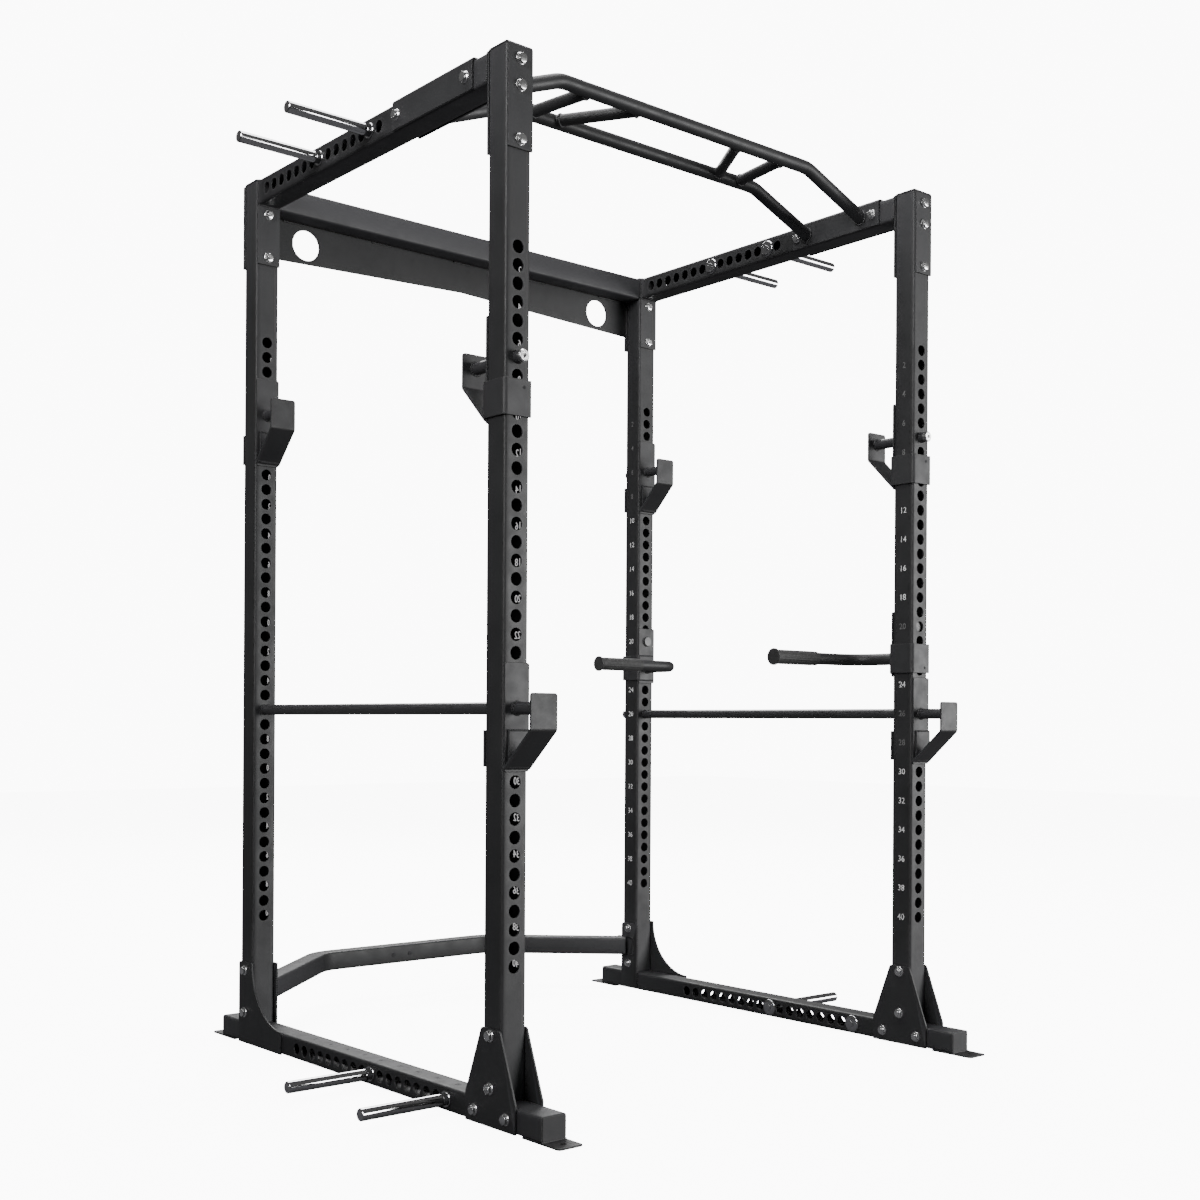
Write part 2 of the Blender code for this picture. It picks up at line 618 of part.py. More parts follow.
# ---- gussets ------------------------------------------------------------------------------
def make_front_gusset(name, x):
    """A plate from the upright down over the base tube, wider at the foot."""
    outline = [(FRONT_Y - GUSSET_HALF_BASE, BASE_LIFT), (FRONT_Y + GUSSET_HALF_BASE, BASE_LIFT),
               (FRONT_Y + GUSSET_HALF_BASE, GUSSET_SHOULDER), (FRONT_Y + HALF_TUBE, GUSSET_TOP),
               (FRONT_Y - HALF_TUBE, GUSSET_TOP), (FRONT_Y - GUSSET_HALF_BASE, GUSSET_SHOULDER)]
    made = plate(name, [outline], PLATE, across_x(x))
    places = [(FRONT_Y, z) for z in GUSSET_BOLT_HEIGHTS]
    places += [(FRONT_Y - GUSSET_BASE_BOLT, BASE_MIDDLE), (FRONT_Y + GUSSET_BASE_BOLT, BASE_MIDDLE)]
    drill_bolts(made, "bolt_holes", hole_lines(x, places, "X", TUBE))
    return paint(made, "powder_coat")


def make_rear_gusset(name, x):
    """A plate on the outside of a rear upright, with a hollow quarter arc towards the front."""
    centre = (REAR_Y - REAR_GUSSET_REACH, REAR_GUSSET_TOP)
    outline = [(REAR_Y + HALF_TUBE, BASE_LIFT), (REAR_Y + HALF_TUBE, REAR_GUSSET_TOP)]
    outline += arc(centre, REAR_GUSSET_RADIUS, 0, -90, REAR_GUSSET_STEPS)
    outline += [(centre[0], BASE_LIFT)]
    made = plate(name, [outline], PLATE, across_x(x))
    bolts = [(REAR_Y, z) for z in GUSSET_BOLT_HEIGHTS]
    drill_bolts(made, "bolt_holes", hole_lines(x, bolts, "X", TUBE))
    return paint(made, "powder_coat")


# ---- fasteners and pegs -------------------------------------------------------------------
def make_bolt(name, start, end):
    """A hexagonal bolt with its nut; start and end are the outer faces that it clamps."""
    start, end = Vector(start), Vector(end)
    step = (end - start).normalized()
    head = step * (BOLT_HEAD_THICK + GAP)
    length = (end - start).length + 2 * (BOLT_HEAD_THICK + GAP)
    radius, shank = BOLT_HEAD / 2, BOLT / 2
    profile = [(0.0, length), (radius, length), (radius, length - BOLT_HEAD_THICK),
               (shank, length - BOLT_HEAD_THICK), (shank, BOLT_HEAD_THICK), (radius, BOLT_HEAD_THICK),
               (radius, 0.0), (0.0, 0.0)]
    return paint(turned(name, profile, start - head, end + head, 6), "zinc")


def make_peg(name, sign, y, z):
    """A storage peg through a side tube: a domed washer inside, a collar and the rod outside."""
    x = sign * HALF_X
    inner = x - sign * (HALF_TUBE + GAP + PEG_WASHER_THICK)
    outer = x + sign * (HALF_TUBE + PEG_LENGTH)
    length = abs(outer - inner)
    rod = PEG / 2
    wall_out = PEG_WASHER_THICK + 2 * GAP + TUBE
    profile = [(0.0, length), (rod - PEG_CHAMFER, length), (rod, length - PEG_CHAMFER),
               (rod, wall_out + PEG_COLLAR_THICK), (PEG_COLLAR / 2, wall_out + PEG_COLLAR_THICK),
               (PEG_COLLAR / 2, wall_out), (rod, wall_out), (rod, PEG_WASHER_THICK),
               (PEG_WASHER / 2, PEG_WASHER_THICK), (PEG_WASHER / 3, 0.0), (0.0, 0.0)]
    return paint(turned(name, profile, (inner, y, z), (outer, y, z), PEG_SIDES), "zinc")


# ---- moving pieces ------------------------------------------------------------------------
def place_on_pin(pieces, x, face_y, z, facing, collar):
    """Moves pieces drawn at a pin onto their upright.

    Pieces are drawn facing -Y with the collar's side plate on +X.  Facing +Y is a half turn
    about Z; a collar on the other side is a mirror image.
    """
    turn = Matrix.Rotation(pi, 4, "Z") if facing > 0 else Matrix.Identity(4)
    drawn_collar = -1 if facing > 0 else 1
    flip = Matrix.Diagonal((-1, 1, 1, 1)) if collar != drawn_collar else Matrix.Identity(4)
    for piece in pieces:
        shape = bmesh.new()
        shape.from_mesh(piece.data)
        shape.transform(turn @ flip)
        if collar != drawn_collar:
            bmesh.ops.reverse_faces(shape, faces=shape.faces)
        shape.to_mesh(piece.data)
        shape.free()
        piece.location = (x, face_y, z)


def collar_pieces(name, back_above):
    """Back plate and C-shaped collar; the face of the upright is y = 0 and the pin is at z = 0."""
    half = BACK_WIDTH / 2
    back = block(name, (-half, -GAP - PLATE, -BACK_BELOW), (half, -GAP, back_above))
    start = -half + PLATE
    side_in = HALF_TUBE + SLEEVE_CLEAR
    side_out = side_in + PLATE
    near_in, near_out = -GAP - PLATE / 2, -GAP - PLATE - COLLAR_LAP
    far_in = TUBE + SLEEVE_CLEAR
    far_out = far_in + PLATE
    outline = [(start, near_out), (side_out, near_out), (side_out, far_out), (-half, far_out),
               (-half, far_in), (side_in, far_in), (side_in, near_in), (start, near_in)]
    middle = -(COLLAR_TOP + COLLAR_BOTTOM) / 2
    collar = plate(f"{name}_collar", [outline], COLLAR_BOTTOM - COLLAR_TOP, across_z(middle))
    return back, collar


def cradle_pieces(name, lip_off, pin_end):
    """The lip, its sloping strap and the pin; the pin runs on to y = pin_end."""
    inner, outer = -lip_off, -lip_off - PLATE
    root = -GAP - PLATE / 2
    foot = -BACK_BELOW + PLATE / 4
    outline = [(inner, LIP_ABOVE), (outer, LIP_ABOVE), (outer, -LIP_BELOW - PLATE / 3),
               (root, foot), (root, foot + STRAP_ROOT), (inner, -LIP_BELOW)]
    strap = plate(f"{name}_lip", [outline], LIP_WIDTH, across_x(0.0))
    pin = rods(f"{name}_pin", [((0, inner - PLATE / 2, 0), (0, pin_end, 0))], PIN / 2, PIN_SIDES)
    return [strap, pin]


def join(base, tools):
    """Welds the tools to the base and keeps the result as one plain mesh."""
    for tool in tools:
        weld(base, tool)
    bpy.context.view_layer.update()
    name = base.name
    graph = bpy.context.evaluated_depsgraph_get()
    mesh = bpy.data.meshes.new_from_object(base.evaluated_get(graph))
    bpy.data.objects.remove(base)
    for tool in tools:
        bpy.data.objects.remove(tool)
    made = bpy.data.objects.new(name, mesh)
    COLLECTIONS["power_cage"].objects.link(made)
    return made


def make_j_hook(name, sign, upright_y, number, facing):
    """A roll-in hook: its pin holds the barbell between the back plate and the lip."""
    back, collar = collar_pieces(name, BACK_ABOVE)
    made = join(back, [collar] + cradle_pieces(name, HOOK_LIP_OFF, TUBE + PIN_THROUGH))
    face = upright_y + facing * HALF_TUBE
    place_on_pin([made], sign * HALF_X, face, hole_z(number), facing, -facing)
    return paint(made, "powder_coat")


def make_safety_bar(name, sign):
    """A hook whose pin is a long rod that runs back through the rear upright."""
    back, collar = collar_pieces(name, BACK_ABOVE)
    reach = SPAN_Y + TUBE + SAFETY_THROUGH
    made = join(back, [collar] + cradle_pieces(name, SAFETY_LIP_OFF, reach))
    place_on_pin([made], sign * HALF_X, FRONT_Y - HALF_TUBE, hole_z(SAFETY_HOLE), -1, 1)
    return paint(made, "powder_coat")


def make_dip_handle(end, facing):
    """A bent handle on a pinned back plate, and the rubber grip on its end."""
    name = f"dip_handle_{end}"
    back, collar = collar_pieces(name, DIP_BACK_ABOVE)
    pin_line = ((0, -DIP_PIN_HEAD, 0), (0, TUBE - DIP_PIN_SHORT, 0))
    pin = rods(f"{name}_pin", [pin_line], PIN / 2, PIN_SIDES)
    tip = (DIP_REACH, -DIP_STAND_OFF, -DIP_DROP)
    corners = [(0, -PLATE / 2, -DIP_DROP), (0, -DIP_STAND_OFF, -DIP_DROP), tip]
    tube = round_tube(f"{name}_tube", rounded(corners, DIP_BEND_RADIUS, DIP_BEND_STEPS), DIP_TUBE, 2)
    made = join(back, [collar, pin, tube])
    radius = DIP_TUBE / 2 + GAP
    outer = radius + DIP_GRIP_WALL
    flange = DIP_FLANGE / 2
    rim = DIP_FLANGE_THICK
    length = DIP_GRIP + rim
    profile = [(0.0, rim - GAP), (radius, rim - GAP), (radius, length), (outer, length), (outer, rim),
               (flange, rim), (flange, 0.0), (0.0, 0.0)]
    start = (tip[0] + rim, tip[1], tip[2])
    end_place = (start[0] - length, tip[1], tip[2])
    grip = turned(f"dip_grip_{end}", profile, start, end_place, DIP_GRIP_SIDES)
    place_on_pin([made, grip], HALF_X, ENDS[end] + facing * HALF_TUBE, hole_z(DIP_HOLE), facing, -1)
    grip_place = grip.location.copy()
    grip.parent = made
    grip.location = grip_place - made.location
    paint(made, "powder_coat")
    paint(grip, "rubber")
    return made


# ---- assembly -----------------------------------------------------------------------------
def make_frame():
    for side, sign in SIDES.items():
        x = sign * HALF_X
        for end, y in ENDS.items():
            make_upright(f"upright_{end}_{side}", x, y)
        make_base(f"base_{side}", x)
        make_top_beam(f"top_beam_{side}", x)
        plate_out = HALF_TUBE + GAP + PLATE / 2
        make_front_gusset(f"gusset_front_{side}_outer", x + sign * plate_out)
        make_front_gusset(f"gusset_front_{side}_inner", x - sign * plate_out)
        make_rear_gusset(f"gusset_rear_{side}", x + sign * plate_out)
    make_rear_top_crossmember()
    make_rear_bottom_crossmember()
    make_pull_up_bar()


def make_fasteners():
    for side, sign in SIDES.items():
        x = sign * HALF_X
        for end, y in ENDS.items():
            back = y + LEG_OUT + (GAP + PLATE if end == "rear" else 0.0)
            for level, drop in zip(("upper", "lower"), LEG_BOLT_DROPS):
                z = HEIGHT - drop
                make_bolt(f"bracket_bolt_{end}_{side}_{level}", (x, y - LEG_OUT, z), (x, back, z))
            for level, z in zip(("upper", "lower"), GUSSET_BOLT_HEIGHTS):
                make_bolt(f"gusset_bolt_{end}_{side}_{level}", (x - LEG_OUT, y, z), (x + LEG_OUT, y, z))
        crossing = [(f"base_bolt_{side}_front", FRONT_Y - GUSSET_BASE_BOLT, BASE_MIDDLE),
                    (f"base_bolt_{side}_rear", FRONT_Y + GUSSET_BASE_BOLT, BASE_MIDDLE)]
        for place, y in zip(("front", "rear"), saddle_bolts()):
            crossing.append((f"saddle_bolt_{side}_{place}", y, BEAM_MIDDLE))
        for name, y, z in crossing:
            make_bolt(name, (x - LEG_OUT, y, z), (x + LEG_OUT, y, z))


def make_pegs():
    for side, sign in SIDES.items():
        for place, number in zip(("rear", "front"), BEAM_PEG_HOLES):
            make_peg(f"peg_top_{side}_{place}", sign, beam_hole_y(number), BEAM_MIDDLE)
        for place, number in zip(("rear", "front"), BASE_PEG_HOLES):
            make_peg(f"peg_base_{side}_{place}", sign, base_hole_y(number), BASE_MIDDLE)


def make_attachments():
    for side, sign in SIDES.items():
        make_j_hook(f"j_hook_front_{side}", sign, FRONT_Y, HOOK_HOLES["front"], 1)
        make_j_hook(f"j_hook_rear_{side}", sign, REAR_Y, HOOK_HOLES["rear"], -1)
        make_safety_bar(f"safety_bar_{side}", sign)
    make_dip_handle("front", 1)
    make_dip_handle("rear", -1)


make_frame()
make_fasteners()
make_pegs()
make_attachments()
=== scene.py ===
# %% [markdown]
# # A power cage, finished
#
# The frame below is the working model: every part at its true size, with its joints. This notebook
# gives each part the surface that a buyer would see: rolled tube with round punched holes, bent
# plate with soft edges, weld beads, hexagonal bolts, bright pegs and ribbed rubber grips.

# %% Load the frame
import json
import math

import bmesh
import bpy
import numpy as np
from mathutils import Matrix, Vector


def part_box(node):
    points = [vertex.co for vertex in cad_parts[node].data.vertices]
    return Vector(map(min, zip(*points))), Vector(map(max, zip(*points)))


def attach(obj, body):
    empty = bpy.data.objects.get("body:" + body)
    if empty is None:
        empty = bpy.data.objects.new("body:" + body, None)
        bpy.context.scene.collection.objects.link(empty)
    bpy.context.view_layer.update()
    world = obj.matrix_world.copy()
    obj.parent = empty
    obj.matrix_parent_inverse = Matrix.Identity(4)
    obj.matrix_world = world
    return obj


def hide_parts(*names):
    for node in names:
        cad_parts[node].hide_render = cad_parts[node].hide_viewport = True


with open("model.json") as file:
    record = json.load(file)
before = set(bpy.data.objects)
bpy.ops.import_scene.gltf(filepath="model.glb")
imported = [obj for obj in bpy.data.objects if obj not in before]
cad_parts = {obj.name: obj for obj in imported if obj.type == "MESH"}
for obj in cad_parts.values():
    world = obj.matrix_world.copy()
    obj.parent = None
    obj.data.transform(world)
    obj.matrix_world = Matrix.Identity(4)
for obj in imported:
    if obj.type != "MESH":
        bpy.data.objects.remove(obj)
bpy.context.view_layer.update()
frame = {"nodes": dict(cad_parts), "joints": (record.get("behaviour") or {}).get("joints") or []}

print("parts in the frame:", len(frame["nodes"]))

# %% [markdown]
# ## Sizes
#
# The frame's boxes give most places. These few are the maker's own stock sizes, in metres.

# %% Stock sizes
TUBE = 0.060
WALL = 0.003
PLATE = 0.005
PITCH = 0.036
HOLE_RADIUS = 0.0135
TUBE_CORNER = 0.0045
TUBE_MID = (TUBE - WALL) / 2    # from a tube's centre line to the middle of its wall
PIN_RADIUS = 0.0125
TOP_HOLE_Z = 1.720
UPRIGHT_HOLES = 40
BEAM_HOLES = 15
BASE_HOLES = 18
BEAM_BELOW_TOP = 0.004
SOFT_EDGE = 0.001
FINE_EDGE = 0.0009
ROUND_ANGLE = 50                # edges flatter than this many degrees are shaded smooth on bars
SIDES = {"left": -1, "right": 1}


def middle(node):
    """The centre of a part's box."""
    low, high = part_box(node)
    return (np.array(low) + np.array(high)) / 2


def ends(node, axis):
    """The lowest and highest place of a part along one axis."""
    low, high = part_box(node)
    return low[axis], high[axis]


HALF_X = middle("upright_front_right")[0]
FRONT_Y = middle("upright_front_right")[1]
REAR_Y = middle("upright_rear_right")[1]
HEIGHT = ends("top_beam_left", 2)[1]
BEAM_Z = HEIGHT - BEAM_BELOW_TOP - TUBE / 2
UPRIGHT_Y = {"front": FRONT_Y, "rear": REAR_Y}
print("uprights at x", round(HALF_X, 3), "y", round(FRONT_Y, 3), round(REAR_Y, 3))

# %% [markdown]
# ## Patches and pieces
#
# Every shape here is made of patches. A patch is a grid of points, worked out as one array, and its
# faces join each point to its neighbours. `make_piece` stacks the patches, merges the points that
# meet, and hands the mesh to Blender. An open skin gets its wall from Solidify, and Bevel takes
# the sharpness off its edges, because a painted steel edge always catches a thin line of light.


# %% Vector helpers
def unit(vector):
    """A vector, or each row of an array, at length 1."""
    vector = np.asarray(vector, float)
    return vector / np.linalg.norm(vector, axis=-1, keepdims=True)


def full_turn(count):
    """Angles once round, without the last."""
    return np.linspace(0, 2 * math.pi, count, endpoint=False)


def closed(points):
    """A path that ends where it starts."""
    return np.vstack([points, points[:1]])


def on_x(x, flat):
    """2-D points laid in the plane at x, as Y and Z."""
    return np.column_stack([np.full(len(flat), x), flat])


def on_y(y, flat):
    """2-D points laid in the plane at y, as X and Z."""
    return np.column_stack([flat[:, 0], np.full(len(flat), y), flat[:, 1]])


# %% Patch helpers
def grid(points, wrap_rows=False, wrap_columns=False):
    """A patch from a (rows, columns, 3) array: each face joins two rows and two columns."""
    rows, columns = points.shape[:2]
    index = np.arange(rows * columns).reshape(rows, columns)
    if wrap_rows:
        index = np.vstack([index, index[:1]])
    if wrap_columns:
        index = np.hstack([index, index[:, :1]])
    faces = np.stack([index[:-1, :-1], index[1:, :-1], index[1:, 1:], index[:-1, 1:]], axis=-1)
    return points.reshape(-1, 3), faces.reshape(-1, 4)


def stack(patches):
    """One patch from many, with each one's faces counted on from the last."""
    starts = np.cumsum([0] + [len(points) for points, _ in patches[:-1]])
    faces = np.vstack([quads + start for (_, quads), start in zip(patches, starts)])
    return np.vstack([points for points, _ in patches]), faces


def collapse(quads):
    """Faces without the repeated corners that a pole leaves."""
    return [list(dict.fromkeys(face)) for face in quads.tolist()]


# %% Turning patches into a piece
MERGE_WITHIN = 0.00002
NO_LENGTH = 0.000001


def linked(name, data):
    """A new object in the scene."""
    item = bpy.data.objects.new(name, data)
    bpy.context.scene.collection.objects.link(item)
    return item


def evaluated_mesh(item):
    """An object's mesh with its modifiers, or its curve's fill, worked out."""
    graph = bpy.context.evaluated_depsgraph_get()
    return bpy.data.meshes.new_from_object(item.evaluated_get(graph))


def mesh_from(name, patches, outlines=()):
    """A mesh from patches of quads, and from flat outlines given as (n, 3) arrays."""
    points, quads = stack(patches) if patches else (np.zeros((0, 3)), np.zeros((0, 4), int))
    faces = collapse(quads)
    for outline in outlines:
        faces.append(list(range(len(points), len(points) + len(outline))))
        points = np.vstack([points, outline])
    mesh = bpy.data.meshes.new(name)
    mesh.from_pydata(points.tolist(), [], faces)
    shape = bmesh.new()
    shape.from_mesh(mesh)
    bmesh.ops.remove_doubles(shape, verts=shape.verts, dist=MERGE_WITHIN)
    bmesh.ops.dissolve_degenerate(shape, edges=shape.edges, dist=NO_LENGTH)
    bmesh.ops.recalc_face_normals(shape, faces=shape.faces)
    watertight = not any(edge.is_boundary for edge in shape.edges)
    if watertight and shape.calc_volume(signed=True) < 0:
        bmesh.ops.reverse_faces(shape, faces=shape.faces)
    shape.to_mesh(mesh)
    shape.free()
    return mesh


def make_piece(mesh, finish, body="frame", wall=0.0, bevel=0.0, angle=40, stands_for=()):
    """An object at the origin, named like its mesh, that rides on a body and has its finish.

    A wall is grown to both sides of the skin. A bevel rounds the edges sharper than the angle,
    and weighted normals let the large faces keep their own direction right up to it. Without a
    bevel the wall is applied, so that the rims of its holes are sharp too.
    """
    piece = linked(mesh.name, mesh)
    mesh.materials.append(FINISHES[finish])
    if wall:
        shell = piece.modifiers.new("wall", "SOLIDIFY")
        shell.thickness = wall
        shell.offset = 0.0
        shell.use_even_offset = True
    if bevel:
        soft = piece.modifiers.new("edges", "BEVEL")
        soft.width = bevel
        soft.segments = 2
        soft.limit_method = "ANGLE"
        soft.angle_limit = math.radians(angle)
        level = piece.modifiers.new("flats", "WEIGHTED_NORMAL")
        level.weight = 100
        level.keep_sharp = True
    elif wall:
        mesh = evaluated_mesh(piece)
        piece.modifiers.clear()
        piece.data = mesh
    mesh.shade_smooth()
    mesh.set_sharp_from_angle(angle=math.radians(angle))
    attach(piece, body)
    if stands_for:
        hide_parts(*stands_for)
    return piece


def part(name, patches, outlines=(), finish="coat", **kind):
    """A piece straight from its patches and outlines."""
    return make_piece(mesh_from(name, patches, outlines), finish, **kind)


# %% [markdown]
# ## Finishes
#
# Powder coat is melted plastic powder: nearly black, satin, with the faint ripple of an orange
# skin, and a touch lighter on sharp edges, partly from wear and partly as a painted edge highlight.
# Zinc plate is bright metal with fine brushed streaks. Rubber is matte, with a soft sheen. The cut
# numbers are painted pale for the light seen through them, and dark where a part shades them.

# %% Node helpers
WHITE = (1.0, 1.0, 1.0, 1.0)
# Colour of sharp edges on powder coat: partly wear, partly a painted edge highlight.
WORN_EDGE_AND_HIGHLIGHT = (0.045, 0.045, 0.048, 1.0)
COAT_SHINE = 0.34


def blank_finish(name, roughness, metallic=0.0):
    """A new material, with its node tree and its Principled shader."""
    material = bpy.data.materials.new(name)
    material.use_nodes = True
    shader = material.node_tree.nodes["Principled BSDF"]
    shader.inputs["Roughness"].default_value = roughness
    shader.inputs["Metallic"].default_value = metallic
    return material, material.node_tree, shader


def noise(tree, scale, detail=2.0, stretch=(1.0, 1.0, 1.0)):
    """Noise on Object coordinates; a stretch below 1 draws it out along that axis."""
    place = tree.nodes.new("ShaderNodeTexCoord")
    mapping = tree.nodes.new("ShaderNodeMapping")
    mapping.inputs["Scale"].default_value = stretch
    texture = tree.nodes.new("ShaderNodeTexNoise")
    texture.inputs["Scale"].default_value = scale
    texture.inputs["Detail"].default_value = detail
    tree.links.new(place.outputs["Object"], mapping.inputs["Vector"])
    tree.links.new(mapping.outputs["Vector"], texture.inputs["Vector"])
    return texture.outputs["Fac"]


def ramp(tree, source, stops):
    """A colour ramp: stops are (place, grey) or (place, colour)."""
    node = tree.nodes.new("ShaderNodeValToRGB")
    points = node.color_ramp.elements
    for index, (place, value) in enumerate(stops):
        point = points[index] if index < 2 else points.new(place)
        point.position = place
        point.color = (value, value, value, 1.0) if np.isscalar(value) else (*value, 1.0)
    tree.links.new(source, node.inputs["Fac"])
    return node.outputs["Color"]


def bump(tree, shader, source, strength, depth):
    """Lets a pattern raise the surface a little."""
    node = tree.nodes.new("ShaderNodeBump")
    node.inputs["Strength"].default_value = strength
    node.inputs["Distance"].default_value = depth
    tree.links.new(source, node.inputs["Height"])
    tree.links.new(node.outputs["Normal"], shader.inputs["Normal"])


# %% The finishes themselves
def powder_coat(name, dark, light, gloss):
    """Satin black with soft clouds, orange peel, and paint a touch lighter on sharp edges, partly wear
    and partly a painted edge highlight.
    """
    material, tree, shader = blank_finish(name, gloss)
    body = ramp(tree, noise(tree, scale=9.0, detail=3.0), [(0.30, dark), (0.72, light)])
    # Lighter on sharp edges, found by pointiness: partly wear, partly a painted edge highlight.
    edge = tree.nodes.new("ShaderNodeNewGeometry").outputs["Pointiness"]
    wear_and_highlight = ramp(tree, edge, [(0.53, 0.0), (0.62, 1.0)])
    mix = tree.nodes.new("ShaderNodeMix")
    mix.data_type = "RGBA"
    mix.inputs["B"].default_value = WORN_EDGE_AND_HIGHLIGHT
    tree.links.new(wear_and_highlight, mix.inputs["Factor"])
    tree.links.new(body, mix.inputs["A"])
    tree.links.new(mix.outputs["Result"], shader.inputs["Base Color"])
    sheen = ramp(tree, noise(tree, scale=30.0, detail=4.0), [(0.3, gloss - 0.05), (0.7, gloss + 0.08)])
    tree.links.new(sheen, shader.inputs["Roughness"])
    bump(tree, shader, noise(tree, scale=700.0), strength=0.16, depth=0.0003)
    shader.inputs["Specular IOR Level"].default_value = COAT_SHINE
    return material


def bright_metal(name, colour, smooth, rough, stretch):
    """Bright metal whose roughness runs in fine streaks."""
    material, tree, shader = blank_finish(name, smooth, metallic=1.0)
    streaks = noise(tree, scale=240.0, detail=5.0, stretch=stretch)
    tree.links.new(ramp(tree, streaks, [(0.30, smooth), (0.75, rough)]), shader.inputs["Roughness"])
    shade = [(0.2, tuple(0.82 * c for c in colour)), (0.8, colour)]
    tree.links.new(ramp(tree, noise(tree, scale=45.0, detail=4.0), shade), shader.inputs["Base Color"])
    bump(tree, shader, streaks, strength=0.06, depth=0.0002)
    return material


def grip_rubber(name):
    """Matte rubber with a fine speckle."""
    material, tree, shader = blank_finish(name, 0.62)
    speckle = noise(tree, scale=1400.0, detail=3.0)
    shade = ramp(tree, noise(tree, scale=60.0), [(0.3, 0.012), (0.7, 0.022)])
    tree.links.new(shade, shader.inputs["Base Color"])
    tree.links.new(ramp(tree, speckle, [(0.3, 0.55), (0.7, 0.75)]), shader.inputs["Roughness"])
    bump(tree, shader, speckle, strength=0.25, depth=0.0002)
    shader.inputs["Sheen Weight"].default_value = 0.08
    return material


def enamel(name, dim, bright, glow=0.0):
    """Painted light seen through a cut number: a pale colour with random darker blotches, or a dim one
    for painted shade; the glow stands for light that comes through a cut.
    """
    material, tree, shader = blank_finish(name, 0.5)
    shader.inputs["Emission Color"].default_value = WHITE
    shader.inputs["Emission Strength"].default_value = glow
    blotches = noise(tree, scale=320.0, detail=4.0)
    tree.links.new(ramp(tree, blotches, [(0.32, dim), (0.5, bright)]), shader.inputs["Base Color"])
    return material


FINISHES = {
    "coat": powder_coat("powder_coat_black", (0.017, 0.017, 0.018), (0.023, 0.023, 0.024), 0.50),
    "coat_pin": powder_coat("powder_coat_pin", (0.012, 0.012, 0.013), (0.017, 0.017, 0.018), 0.32),
    "zinc": bright_metal("zinc_plate", (0.90, 0.90, 0.90), 0.16, 0.30, (1.0, 1.0, 1.0)),
    "chrome": bright_metal("chrome_bar", (0.62, 0.62, 0.63), 0.05, 0.13, (0.02, 1.0, 1.0)),
    "rubber": grip_rubber("grip_rubber"),
    # Near black: painted shade for the thin discs that stand for holes, and the colour of the dark
    # numbers.
    "hole_shade_and_numbers": powder_coat("painted_hole_shade_and_dark_numbers", (0.0008, 0.0008, 0.0009), (0.0014, 0.0014, 0.0015), 0.85),
    # Cut numbers: pale painted light, dim painted shade, and a glow for light through the cut.
    "enamel": enamel("pale_painted_cut_light", 0.45, 0.80),
    "cut_shade_paint": enamel("dim_painted_cut_shade", 0.05, 0.14),
    "daylight": enamel("daylight_in_cut", 0.60, 0.90, glow=0.55),
}
print("finishes:", ", ".join(FINISHES))

# %% [markdown]
# ## Punched tube
#
# The uprights, side beams and base tubes are the same thing: rolled tube with round holes at one
# pitch. A Boolean could cut 160 holes, but it leaves thin messy faces. Here each stretch of one
# pitch is a cell. On a side with a hole the cell is a ring: its inner points lie on the circle and
# its outer points on the cell's square, at the same directions from the centre. On a plain side
# it is a flat grid with the same outer points, so that all sides meet.


# %% Cells of punched tube
STEPS = 8               # points along each side of a cell
CORNER_STEPS = 3


def square_points(half_s, half_a):
    """Points round a rectangle, STEPS to each side, starting from a corner."""
    line = np.linspace(-1.0, 1.0, STEPS, endpoint=False)
    one = np.ones(STEPS)
    s = np.concatenate([line, one, -line, -one]) * half_s
    a = np.concatenate([-one, line, one, -line]) * half_a
    return np.stack([s, a], axis=1)


def hole_cell(half_s, half_a, radius):
    """Ring patch in (along, across): from the rectangle's outline in to the circle."""
    outer = square_points(half_s, half_a)
    inner = radius * unit(outer)
    return np.stack([outer, (outer + inner) / 2, inner])


def tube_skin(start, stop, half_u, half_v, holes, hole_sides, corner=TUBE_CORNER):
    """Patches in (along, u, v) of a tube's mid-wall skin.

    holes are the places of the hole centres, one pitch apart. hole_sides picks the punched
    sides: 0 is +u, 1 is +v, 2 is -u and 3 is -v.
    """
    holes = np.sort(np.asarray(holes, float))
    first, last = holes[0] - PITCH / 2, holes[-1] + PITCH / 2
    flat_u, flat_v = half_u - corner, half_v - corner
    patches = []
    for side in range(4):
        out, flat = (half_u, flat_v) if side % 2 == 0 else (half_v, flat_u)
        across = np.linspace(-flat, flat, STEPS + 1)
        plain = [np.array([start, first]), np.array([last, stop])]
        if side in hole_sides:
            ring = hole_cell(PITCH / 2, flat, HOLE_RADIUS)
            for centre in holes:
                local = np.concatenate([ring, np.full(ring.shape[:2] + (1,), out)], axis=2)
                local[..., 0] += centre
                patches.append(grid(turned_to(side, local), wrap_columns=True))
        else:
            plain.append(np.linspace(first, last, len(holes) * STEPS + 1))
        for places in plain:
            s, a = np.meshgrid(places, across, indexing="ij")
            patches.append(grid(turned_to(side, np.stack([s, a, np.full_like(s, out)], axis=2))))
        turn = np.linspace(0, math.pi / 2, CORNER_STEPS + 1)
        places = np.concatenate([[start], np.linspace(first, last, len(holes) * STEPS + 1), [stop]])
        s, angle = np.meshgrid(places, turn, indexing="ij")
        bend = np.stack([s, flat + corner * np.sin(angle), out - corner + corner * np.cos(angle)], axis=2)
        patches.append(grid(turned_to(side, bend)))
    return patches


def turned_to(side, local):
    """(along, across, out) of one side to (along, u, v), a quarter turn for each side."""
    s, a, out = local[..., 0], local[..., 1], local[..., 2]
    u, v = ((out, a), (-a, out), (-out, -a), (a, -out))[side]
    return np.stack([s, u, v], axis=-1)


def placed(patches, order, centre):
    """Patches from (along, u, v) to X, Y and Z; order says where each of X, Y and Z comes from."""
    return [(points[:, order] + np.asarray(centre), quads) for points, quads in patches]


